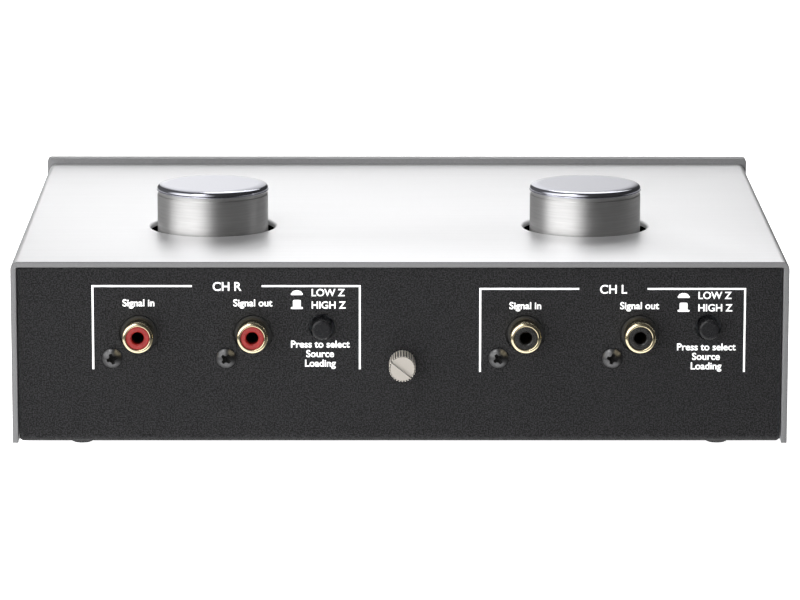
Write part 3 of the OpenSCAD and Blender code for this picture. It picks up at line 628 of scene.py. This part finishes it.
def lid_mesh(name, radius, low_z, top_z):
    """Flat top, shallow domed margin, upright lip with a bead below, and a spigot inside the can."""
    rim_z = low_z + lid_spigot_l
    fall = top_z - rim_z - lip_h
    dome_at = radius - math.sqrt(2 * dome_r * fall - fall ** 2)
    edge_at = radius - bead_out - dome_edge_r
    edge_up = math.sqrt((dome_r - dome_edge_r) ** 2 - (edge_at - dome_at) ** 2)
    slant_deg = math.degrees(math.atan2(edge_up, edge_at - dome_at))
    bead_deg = math.degrees(math.acos(1 - bead_out / bead_r))
    spigot = radius - can_wall - lid_spigot_gap
    line = [(0, top_z), (dome_at / 2, top_z)]
    line += arc(dome_at, top_z - dome_r, dome_r, 90, slant_deg, 16)
    line += arc(edge_at, top_z - dome_r + edge_up, dome_edge_r, slant_deg, 0, 8)[1:]
    line += arc(radius - bead_r, rim_z + bead_r, bead_r, bead_deg, -90, 8)
    line += [(spigot, rim_z), (spigot, low_z), (spigot - lid_spigot_t, low_z)]
    line += [(spigot - lid_spigot_t, top_z - lid_plate_t), (0, top_z - lid_plate_t)]
    return mesh_from(name, turned_shape(line, can_steps))


for side in ("right", "left"):
    dress(black_plastic, f"{side}_transformer_base")
    dress(iron, f"{side}_transformer_core")
    dress(nylon, f"{side}_transformer_bobbin")
    for coil, wire_d, depth in coils:
        node = f"{side}_{coil}_winding"
        low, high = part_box(node)
        mesh = winding_mesh(node, low, high, wire_d, depth)
        hang(f"{side}_{coil}_wire", mesh, copper, stands_for=[node])
    for part, finish, shaped in (("can", can_metal, can_mesh), ("lid", lid_metal, lid_mesh)):
        node = f"{side}_transformer_{part}"
        low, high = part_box(node)
        middle = (low + high) / 2
        mesh = shaped(node, (high.x - low.x) / 2, low.z, high.z)
        place = Matrix.Translation((middle.x, middle.y, 0))
        hang(f"{side}_screening_{part}", mesh, finish, "case", place, [node])

# Ground terminal: a knurled and slotted thumb screw in nickel plated brass, its washer outside the
# panel, and inside a nut, a solder tag and a green wire to the board.
nickel = new_finish("nickel_plate", (0.78, 0.74, 0.66), 0.6, 0.36)
tint(nickel, 0.5 * mm, (0.72, 0.68, 0.60), (0.86, 0.82, 0.74))
polish(nickel, 0.4 * mm, 0.3, 0.44)
dress(nickel, "ground_washer", "ground_nut", "ground_tag")
knurl_nickel = new_finish("knurl_nickel", (0.78, 0.74, 0.66), 0.25, 0.36)
polish(knurl_nickel, 0.4 * mm, 0.28, 0.42)
thumb_low, thumb_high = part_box("ground_screw")
thumb = (thumb_low + thumb_high) / 2
knurl_r = (thumb_high.x - thumb_low.x) / 2
knurl_depth = 0.45 * mm
end_face_level = 0.44


def painted_knurl_shade(finish, dark, light):
    """Paints shade into the knurl's valleys and the slot walls, darker nearer the screw's axis, and
    sets the end face to a mid tone, darker than the crests.
    """
    place = node_for(finish, "ShaderNodeTexCoord")
    offset = node_for(finish, "ShaderNodeVectorMath", place.outputs["Object"], operation="SUBTRACT")
    offset.inputs[1].default_value = thumb
    across = node_for(finish, "ShaderNodeVectorMath", offset.outputs["Vector"], operation="MULTIPLY")
    across.inputs[1].default_value = (1, 0, 1)
    distance = node_for(finish, "ShaderNodeVectorMath", across.outputs["Vector"], operation="LENGTH")
    valley_r, crest_r = knurl_r - 0.4 * knurl_depth, knurl_r - 0.05 * knurl_depth
    crest = ramp(finish, distance.outputs["Value"], valley_r, crest_r, 0, 1)
    aim = node_for(finish, "ShaderNodeSeparateXYZ", place.outputs["Normal"])
    end_face = ramp(finish, aim.outputs["Y"], 0.5, 0.9, 0, end_face_level)
    unshaded = node_for(finish, "ShaderNodeMath", crest, end_face, operation="MAXIMUM")
    colour_by(finish, unshaded.outputs["Value"], dark, light)


# Painted shade: near-black in the knurl's valleys and slot walls, pale nickel on the crests.
painted_knurl_shade(knurl_nickel, (0.012, 0.011, 0.009), (0.86, 0.80, 0.72))
dress(knurl_nickel, "ground_screw")
green_vinyl = new_finish("green_vinyl", (0.03, 0.2, 0.04), 0.0, 0.4)
tint(green_vinyl, 3 * mm, (0.02, 0.16, 0.03), (0.04, 0.24, 0.05))
lead_bends = [
    Vector((-0.6, 72.85, 33.3)) * mm,
    Vector((-0.6, 48.25, 33.3)) * mm,
    Vector((20.7, 48.25, 31.65)) * mm,
    Vector((20.7, 48.25, 23.65)) * mm,
]
lead_d = 1.6 * mm
lead_steps = 48
lead_path = []
for i in range(lead_steps + 1):
    t = i / lead_steps
    weights = ((1 - t) ** 3, 3 * t * (1 - t) ** 2, 3 * t * t * (1 - t), t ** 3)
    lead_path.append(sum((w * spot for w, spot in zip(weights, lead_bends)), Vector()))
lead_mesh = tube_mesh("ground_lead", lead_path, lead_d / 2, 16)
hang("ground_lead", lead_mesh, green_vinyl, stands_for=["ground_wire"])

# Legends: white ink printed on the rear panel, a line frame for each channel, plain words for its
# sockets and its switch, and a small sign for the button out and the button in.
ink = new_finish("panel_ink", (0.86, 0.86, 0.86), 0.0, 0.55)
tint(ink, 0.4 * mm, (0.82, 0.82, 0.82), (0.92, 0.92, 0.92))
ink_t = 0.02 * mm
ink_spread = 0.055 * mm
line_w = 0.5 * mm
frame_top_z = 45.78 * mm
frame_low_z = 23.05 * mm
cap_share = 0.7
channel_z, channel_cap_h = 44.3 * mm, 2.3 * mm
socket_word_z, small_cap_h = 40.1 * mm, 1.85 * mm
switch_word_x, switch_word_z, switch_line_h = 0.5 * mm, 28.95 * mm, 2.58 * mm
setting_x, setting_cap_h = 2.85 * mm, 1.9 * mm
setting_z = {"low": 42.85 * mm, "high": 39.5 * mm}
sign_x, pressed_z, released_z = 6.6 * mm, 43.1 * mm, 39.35 * mm
print_up = {"right": 0.37 * mm, "left": -0.37 * mm}
frame_x = {
    "right": (81.6 * mm, 55.1 * mm, 36.6 * mm, 10.4 * mm),
    "left": (-21.0 * mm, -47.4 * mm, -65.5 * mm, -91.6 * mm),
}
panel_turn = Matrix.Rotation(math.pi, 4, "Z") @ Matrix.Rotation(math.pi / 2, 4, "X")


def print_shape(name, outline):
    """Prints one closed outline, given as x across and z up on the panel."""
    shape = bmesh.new()
    base = [shape.verts.new((x, panel_y, z)) for x, z in outline]
    top = [shape.verts.new((x, panel_y + ink_t, z)) for x, z in outline]
    shape.faces.new(base)
    shape.faces.new(top)
    skin(shape, (base, top))
    hang(name, mesh_from(name, shape), ink)


def corner_line(name, leg_x, end_x, up):
    """Prints a leg and the half of the top line that it turns into."""
    inward = math.copysign(line_w, end_x - leg_x)
    foot_z = frame_low_z + up
    top_z = frame_top_z + up
    print_shape(name, [
        (leg_x, foot_z),
        (leg_x + inward, foot_z),
        (leg_x + inward, top_z - line_w),
        (end_x, top_z - line_w),
        (end_x, top_z),
        (leg_x, top_z),
    ])


def print_word(name, word, x, z, cap_h, align="CENTER"):
    """Prints a word that stands on z, centred on x or starting there."""
    letters = bpy.data.curves.new(name, "FONT")
    letters.body = word
    letters.size = cap_h / cap_share
    letters.align_x = align
    letters.extrude = ink_t / 2
    letters.offset = ink_spread
    letters.materials.append(ink)
    piece = bpy.data.objects.new(name, letters)
    piece.matrix_world = Matrix.Translation((x, panel_y + ink_t / 2, z)) @ panel_turn
    bpy.context.scene.collection.objects.link(piece)
    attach(piece, "case")


def button_signs(side, x, up):
    """Prints a low cap for the button in, and a tall one on its brim for the button out."""
    brim_w = 3.2 * mm
    brim_h = 0.55 * mm
    crown_w = 2.1 * mm
    crown_h = 1.9 * mm
    end_r = 0.25 * mm
    dome_w = 2.7 * mm
    dome_h = 0.75 * mm
    top_r = 0.35 * mm
    half = brim_w / 2 - end_r
    for sign, z in (("pressed", pressed_z + up), ("released", released_z + up)):
        brim = arc(x - half, z + end_r, end_r, 180, 270, 4)
        brim += arc(x + half, z + end_r, end_r, 270, 360, 4)
        brim += arc(x + half, z + brim_h - end_r, end_r, 0, 90, 4)
        if sign == "pressed":
            turns = [math.pi * i / 16 for i in range(17)]
            top = [(x + dome_w / 2 * math.cos(a), z + brim_h + dome_h * math.sin(a)) for a in turns]
        else:
            side_x = crown_w / 2 - top_r
            top = [(x + crown_w / 2, z + brim_h)]
            top += arc(x + side_x, z + brim_h + crown_h - top_r, top_r, 0, 90, 4)
            top += arc(x - side_x, z + brim_h + crown_h - top_r, top_r, 90, 180, 4)
            top += [(x - crown_w / 2, z + brim_h)]
        last = arc(x - half, z + brim_h - end_r, end_r, 90, 180, 4)
        print_shape(f"{side}_{sign}_sign", brim + top + last)


for side, (outer_x, gap_a, gap_b, inner_x) in frame_x.items():
    up = print_up[side]
    corner_line(f"{side}_frame_line_outer", outer_x, gap_a, up)
    corner_line(f"{side}_frame_line_inner", inner_x, gap_b, up)
    channel = "CH R" if side == "right" else "CH L"
    print_word(f"{side}_channel_mark", channel, (gap_a + gap_b) / 2, channel_z + up, channel_cap_h)
    for end, word in (("input", "Signal in"), ("output", "Signal out")):
        low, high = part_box(f"{side}_{end}_socket_insulator")
        print_word(f"{side}_{end}_mark", word, (low.x + high.x) / 2, socket_word_z + up, small_cap_h)
    low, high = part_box(f"{side}_button_cap")
    button_x = (low.x + high.x) / 2
    for i, word in enumerate(("Press to select", "Source", "Loading")):
        line_z = switch_word_z - switch_line_h * i + up
        print_word(f"{side}_switch_mark_{i}", word, button_x + switch_word_x, line_z, small_cap_h)
    for setting, z in setting_z.items():
        word = f"{setting.upper()} Z"
        print_word(f"{side}_{setting}_mark", word, button_x + setting_x, z + up, setting_cap_h, "LEFT")
    button_signs(side, button_x + sign_x, up)

# Top cover: one sheet of aluminium folded down at both sides, brushed across and clear anodised. Two
# round holes let the cans through. Its sheared edges are rougher, and painted dark grey as shade.
brushed = new_finish("brushed_aluminium", (0.88, 0.88, 0.89), 0.72, 0.38)
tint(brushed, 0.25 * mm, (0.85, 0.85, 0.86), (0.90, 0.90, 0.91), (240, 1, 240))
polish(brushed, 0.3 * mm, 0.34, 0.42, (200, 1, 200))
# Painted shade: the cut edges and screw hole walls are coloured dark grey to stand for the shade on
# them.
sheared = new_finish("sheared_edge_painted_shade", (0.142, 0.142, 0.145), 0.2, 0.55)
tint(sheared, 0.2 * mm, (0.128, 0.128, 0.131), (0.156, 0.156, 0.159), (3, 3, 1))
polish(sheared, 0.4 * mm, 0.5, 0.62)
punched = new_finish("punched_rim", (0.9, 0.9, 0.91), 0.0, 0.4)
tint(punched, 0.2 * mm, (0.84, 0.84, 0.85), (0.95, 0.95, 0.96), (1, 1, 8))
brushed_face, sheared_face, punched_face = 0, 1, 2
cover_low, cover_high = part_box("top_cover")
cover_t = 1.5 * mm
cover_bend_r = 2 * mm
cover_edge_r = 0.22 * mm
rim_edge_r = 0.7 * mm
edge_steps = 4
bend_steps = 8
can_gap = 1.95 * mm
can_hole_steps = 96
screw_hole_steps = 32
screw_hole_r = 1.75 * mm
countersink_r = 2.78 * mm
screw_inset = 25 * mm
screw_up = 7 * mm
cover_screw_y = {"rear": cover_high.y - screw_inset, "front": cover_low.y + screw_inset}
cover_screw_z = cover_low.z + screw_up


def fill_flat(shape, loops):
    """Flat faces between an outer loop and the loops of its holes."""
    edges = []
    for loop in loops:
        for i in range(len(loop)):
            pair = (loop[i], loop[(i + 1) % len(loop)])
            edges.append(shape.edges.get(pair) or shape.edges.new(pair))
    made = bmesh.ops.triangle_fill(shape, edges=edges, use_beauty=True)
    return [part for part in made["geom"] if isinstance(part, bmesh.types.BMFace)]


def pierce(shape, place, outline, steps, wall):
    """Wall of a round hole, from its outline of radius and height over a sheet. Gives its end loops."""
    loops = []
    for radius, height in outline:
        turns = [2 * math.pi * i / steps for i in range(steps)]
        spots = [Vector((radius * math.cos(a), radius * math.sin(a), height)) for a in turns]
        loops.append([shape.verts.new(place @ spot) for spot in spots])
    for face in skin(shape, loops):
        face.material_index = wall
    return loops[0], loops[-1]


def cover_bend(centre_x, start_deg):
    """Points of a bend's outer face, each with the way that faces out there."""
    turns = [math.radians(start_deg + 90 * i / bend_steps) for i in range(bend_steps + 1)]
    centre_z = cover_high.z - cover_bend_r
    ways = [(math.cos(a), math.sin(a)) for a in turns]
    return [(centre_x + cover_bend_r * c, centre_z + cover_bend_r * s, c, s) for c, s in ways]


def cover_side_holes(shape, x, outward):
    """The countersunk screw holes in one side of the cover."""
    cone = countersink_r - screw_hole_r
    outline = [(countersink_r, 0), (screw_hole_r, -cone), (screw_hole_r, -cover_t)]
    spots = [(x, y, cover_screw_z) for y in cover_screw_y.values()]
    places = [facing(spot, (outward, 0, 0)) for spot in spots]
    return [pierce(shape, place, outline, screw_hole_steps, sheared_face) for place in places]


def cover_can_holes(shape):
    """The holes for the cans, their rims eased as a punch and a file leave them."""
    holes = []
    for side in ("right", "left"):
        low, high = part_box(f"{side}_transformer_can")
        wall_r = (high.x - low.x) / 2 + can_gap
        outline = arc(wall_r + rim_edge_r, -rim_edge_r, rim_edge_r, 90, 180, 8)
        ease = cover_edge_r
        outline += arc(wall_r + ease, ease - cover_t, ease, 180, 270, edge_steps)
        middle = (low + high) / 2
        place = Matrix.Translation((middle.x, middle.y, cover_high.z))
        holes.append(pierce(shape, place, outline, can_hole_steps, punched_face))
    return holes


def cover_mesh(name):
    """The folded sheet: a section with eased edges, carried round both bends, and its holes."""
    ease = cover_edge_r
    section = arc(-ease, cover_high.y - ease, ease, 0, 90, edge_steps)
    section += arc(ease - cover_t, cover_high.y - ease, ease, 90, 180, edge_steps)
    section += arc(ease - cover_t, cover_low.y + ease, ease, 180, 270, edge_steps)
    section += arc(-ease, cover_low.y + ease, ease, 270, 360, edge_steps)
    inner, outer = len(section) // 2 - 1, len(section) - 1
    stations = [(cover_high.x, cover_low.z, 1, 0)]
    stations += cover_bend(cover_high.x - cover_bend_r, 0)
    stations += cover_bend(cover_low.x + cover_bend_r, 90)
    stations += [(cover_low.x, cover_low.z, -1, 0)]
    shape = bmesh.new()
    loops = [[shape.verts.new((x + way_x * out, y, z + way_z * out)) for out, y in section]
             for x, z, way_x, way_z in stations]
    pierced = {
        0: cover_side_holes(shape, cover_high.x, 1),
        bend_steps + 1: cover_can_holes(shape),
        len(loops) - 2: cover_side_holes(shape, cover_low.x, -1),
    }
    flats = []
    for span, (here, there) in enumerate(zip(loops, loops[1:])):
        for j in range(len(section)):
            k = (j + 1) % len(section)
            corners = [here[j], here[k], there[k], there[j]]
            if span in pierced and j in (inner, outer):
                mouths = [hole[0 if j == outer else 1] for hole in pierced[span]]
                flats += fill_flat(shape, [corners] + mouths)
            else:
                face = shape.faces.new(corners)
                face.material_index = brushed_face if j in (inner, outer) else sheared_face
    for end in (loops[0], loops[-1]):
        shape.faces.new(end).material_index = sheared_face
    return mesh_from(name, shape, flats)


cover = cover_mesh("folded_cover")
for finish in (brushed, sheared, punched):
    cover.materials.append(finish)
hang("folded_cover", cover, brushed, stands_for=["top_cover"])

# Cover screws: zinc plated, with countersunk heads and cross recesses. Two go through each side of the
# cover into the flanges of the tray.
cover_head_d = 5.5 * mm
cover_shank_l = 4.5 * mm
cover_head_edge = 0.06 * mm
cover_screw_turns = {"rear": 30, "front": 65}


def flat_screw_mesh(name):
    """Countersunk head, flush at Z = 0, with a cross recess and a threaded shank."""
    runout = 0.1 * mm
    recess_span, recess_arm, recess_depth = 3 * mm, 0.95 * mm, 1.1 * mm
    cone = (cover_head_d - screw_d) / 2
    line = shank_outline(cover_shank_l, -cone)
    line += [(screw_d / 2, -cone), (cover_head_d / 2, -cover_head_edge)]
    line += [(cover_head_d / 2 - cover_head_edge, 0), (cover_head_d / 4, 0), (0, 0)]
    shape = turned_shape(line)
    cut_thread(shape, -cover_shank_l, -cone - runout)
    return carved(mesh_from(name, shape), cross_cutter(recess_span, recess_arm, recess_depth, 0))


cover_screw_mesh = flat_screw_mesh("cover_screw")
for side, x, outward in (("right", cover_high.x, 1), ("left", cover_low.x, -1)):
    for end, y in cover_screw_y.items():
        name = f"cover_screw_{end}_{side}"
        place = facing((x, y, cover_screw_z), (outward, 0, 0), cover_screw_turns[end])
        hang(name, cover_screw_mesh, zinc, "case", place, ["cover_screws"])

# Front panel: a thick plate of brushed aluminium, screwed on from inside the tray, that stands a
# little proud of the cover all round.
front_metal = new_finish("front_aluminium", (0.70, 0.70, 0.71), 1.0, 0.32)
tint(front_metal, 0.25 * mm, (0.66, 0.66, 0.67), (0.74, 0.74, 0.75), (240, 240, 1))
polish(front_metal, 0.3 * mm, 0.26, 0.38, (200, 200, 1))
# Painted shade: the plate's rounded sides and back are coloured dark grey to stand for the shade on
# them.
plate_edge_shade = new_finish("plate_edge_shade", (0.245, 0.245, 0.25), 0.2, 0.55)
tint(plate_edge_shade, 0.2 * mm, (0.225, 0.225, 0.23), (0.265, 0.265, 0.27), (3, 3, 1))
polish(plate_edge_shade, 0.4 * mm, 0.5, 0.62)
plate_low, plate_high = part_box("front_panel")
plate_corner_r = 1 * mm
plate_back_r = 0.25 * mm
plate_front_r = 0.6 * mm
plate_hole_r = 1.5 * mm
plate_hole_l = 3.8 * mm
plate_hole_steps = 24
front_shank_l = 4.4 * mm
front_screw_in = 15 * mm
front_screw_up = 12 * mm
front_screws = [(x, z) for x in (tray_high.x - front_screw_in, tray_low.x + front_screw_in)
                for z in (tray_low.z + front_screw_up, tray_high.z - front_screw_up)]


def plate_loop(inset):
    """The plate's rounded outline, drawn in by an inset, as x across and z up."""
    right, left = plate_high.x - plate_corner_r, plate_low.x + plate_corner_r
    top, bottom = plate_high.z - plate_corner_r, plate_low.z + plate_corner_r
    line = []
    for i, (x, z) in enumerate(((right, top), (left, top), (left, bottom), (right, bottom))):
        line += arc(x, z, plate_corner_r - inset, 90 * i, 90 * (i + 1), 6)
    return line


def front_plate_mesh(name):
    """Plate with a small radius at the back and a larger one in front, and blind screw holes behind."""
    sides = arc(plate_back_r, plate_high.y - plate_back_r, plate_back_r, 90, 180, edge_steps)
    sides += arc(plate_front_r, plate_low.y + plate_front_r, plate_front_r, 180, 270, 6)
    shape = bmesh.new()
    loops = [[shape.verts.new((x, y, z)) for x, z in plate_loop(inset)] for inset, y in sides]
    for face in skin(shape, loops):
        face.material_index = sheared_face
    mouths = [loops[0]]
    flats = [shape.faces.new(loops[-1])]
    for x, z in front_screws:
        place = facing((x, plate_high.y, z), (0, 1, 0))
        bore = [(plate_hole_r, 0), (plate_hole_r, -plate_hole_l)]
        mouth, bottom = pierce(shape, place, bore, plate_hole_steps, sheared_face)
        mouths.append(mouth)
        flats.append(shape.faces.new(bottom))
    backs = fill_flat(shape, mouths)
    for face in backs:
        face.material_index = sheared_face
    return mesh_from(name, shape, flats + backs)


plate = front_plate_mesh("front_plate")
plate.materials.append(front_metal)
plate.materials.append(plate_edge_shade)
hang("front_plate", plate, front_metal, stands_for=["front_panel"])
front_screw_mesh = pan_screw_mesh("front_screw", pan_head_d, pan_head_h, front_shank_l, zinc)
for i, (x, z) in enumerate(front_screws):
    name = f"front_screw_{i}"
    turn_deg = 40 + 30 * i
    place = facing((x, tray_low.y + sheet_t, z), (0, 1, 0), turn_deg)
    hang(name, front_screw_mesh, zinc, "case", place, ["front_panel_screws"])

# Floor: a plain white table that glows a little, far wider than any view of the box. Metal doesn't
# mirror it and it throws no light; the sky below the horizon does both in its stead.
floor_half = 12
table_white = new_finish("table_white", (0.9, 0.9, 0.9), 0.0, 0.8, 0.2)
tint(table_white, 0.3, (0.89, 0.89, 0.89), (0.91, 0.91, 0.91))
shader_of(table_white).inputs["Emission Color"].default_value = (1, 1, 1, 1)
shader_of(table_white).inputs["Emission Strength"].default_value = 1.0
floor_mesh = bpy.data.meshes.new("floor")
floor_signs = ((-1, -1), (1, -1), (1, 1), (-1, 1))
floor_corners = [(x * floor_half, y * floor_half, 0) for x, y in floor_signs]
floor_mesh.from_pydata(floor_corners, [], [(0, 1, 2, 3)])
floor_mesh.materials.append(table_white)
floor = bpy.data.objects.new("floor", floor_mesh)
floor.visible_glossy = False
floor.visible_diffuse = False
bpy.context.scene.collection.objects.link(floor)

# Studio light: a small key overhead, two boxes beyond the front plate for the cover and the lids, and
# two low ones for the rear panel. The sky is bright over the front plate, where the cover's top mirrors
# it, and glows at one side for the cans.


def soft_box(name, place, aim, width, height, radiance, mirrored=True):
    """A rectangular lamp of some radiance that faces a point, and is mirrored in metal or not."""
    lamp = bpy.data.lights.new(name, "AREA")
    lamp.shape = "RECTANGLE"
    lamp.size = width
    lamp.size_y = height
    lamp.energy = radiance * math.pi * width * height
    box = bpy.data.objects.new(name, lamp)
    box.location = place
    box.rotation_euler = (Vector(aim) - Vector(place)).to_track_quat("-Z", "Y").to_euler()
    box.visible_camera = False
    box.visible_glossy = mirrored
    bpy.context.scene.collection.objects.link(box)


soft_box("key_box", (0.5, 0.55, 1.25), (0, 0, 0.03), 0.5, 0.4, 4.4)
soft_box("back_box", (0.2, -1.05, 0.62), (0, 0, 0.05), 1.2, 0.4, 13.0, mirrored=False)
soft_box("rear_box", (-0.2, -1.0, 0.95), (0, 0, 0.05), 0.7, 0.4, 2.4)
soft_box("fill_box", (0.04, 0.47, 0.055), (0.02, 0.07, 0.035), 0.3, 0.1, 11.8, mirrored=False)
soft_box("table_box", (0.05, 0.2, 0.004), (0.02, 0.075, 0.02), 0.4, 0.1, 3.0, mirrored=False)
sky = bpy.data.worlds.new("studio_sky")
sky.use_nodes = True
sky_place = node_for(sky, "ShaderNodeTexCoord")
heading = node_for(sky, "ShaderNodeSeparateXYZ", sky_place.outputs["Generated"])


def sky_ramp(axis, start, end, low, high):
    """A level that goes smoothly from low to high with the heading's part along an axis."""
    return ramp(sky, heading.outputs[axis], start, end, low, high, interpolation_type="SMOOTHSTEP")


def sky_lobe(towards, start, end, high):
    """A round glow about a heading: none where the cosine from it is start, and full from end on."""
    way = sky_place.outputs["Generated"]
    near = node_for(sky, "ShaderNodeVectorMath", way, operation="DOT_PRODUCT")
    near.inputs[1].default_value = Vector(towards).normalized()
    return ramp(sky, near.outputs["Value"], start, end, 0, high, interpolation_type="SMOOTHSTEP")


def sky_join(operation, first, second):
    """Adds or multiplies two levels."""
    return node_for(sky, "ShaderNodeMath", first, second, operation=operation).outputs["Value"]


def sky_mix(share, first, second):
    """Blends two levels by a share."""
    mix = node_for(sky, "ShaderNodeMix")
    for source, socket in ((share, "Factor"), (first, "A"), (second, "B")):
        sky.node_tree.links.new(source, mix.inputs[socket])
    return mix.outputs["Result"]


cans_glow = sky_lobe((0.75, 0.6, 0.3), 0.55, 0.98, 1.95)
sides = sky_join("ADD", sky_ramp("X", -0.6, 0.8, 0.05, 0.15), cans_glow)
backdrop = sky_ramp("X", -0.15, 0.09, 0.66, 1.2)
narrow = sky_join("MULTIPLY", sky_ramp("X", -0.19, -0.1, 0.0, 1.0), sky_ramp("X", 0.2, 0.11, 0.0, 1.0))
straight_ahead = sky_join("MULTIPLY", narrow, sky_ramp("Y", -0.7, -0.93, 0.0, 1.0))
above_ground = sky_mix(straight_ahead, sides, backdrop)
dim_edge = sky_ramp("X", -0.6, 0.8, 0.02, 0.06)
table_glow = sky_ramp("X", -0.3, 0.3, 0.2, 1.4)
rear_table = sky_mix(sky_ramp("Z", -0.2, -0.32, 0.0, 1.0), dim_edge, table_glow)
front_table = sky_ramp("X", -0.6, 0.8, 0.4, 0.55)
low_table = sky_mix(sky_ramp("Y", 0.3, -0.5, 0.0, 1.0), rear_table, front_table)
steep = sky_ramp("Z", -0.5, -0.85, 0.0, 1.0)
near_table = sky_ramp("Z", -0.5, -0.85, 1.0, 1.6)
below_ground = sky_mix(steep, low_table, near_table)
level = sky_mix(sky_ramp("Z", 0.01, -0.05, 0.0, 1.0), above_ground, below_ground)
background = sky.node_tree.nodes["Background"]
background.inputs["Color"].default_value = (1, 1, 1, 1)
sky.node_tree.links.new(level, background.inputs["Strength"])
bpy.context.scene.world = sky
bpy.context.scene.view_settings.view_transform = "Standard"
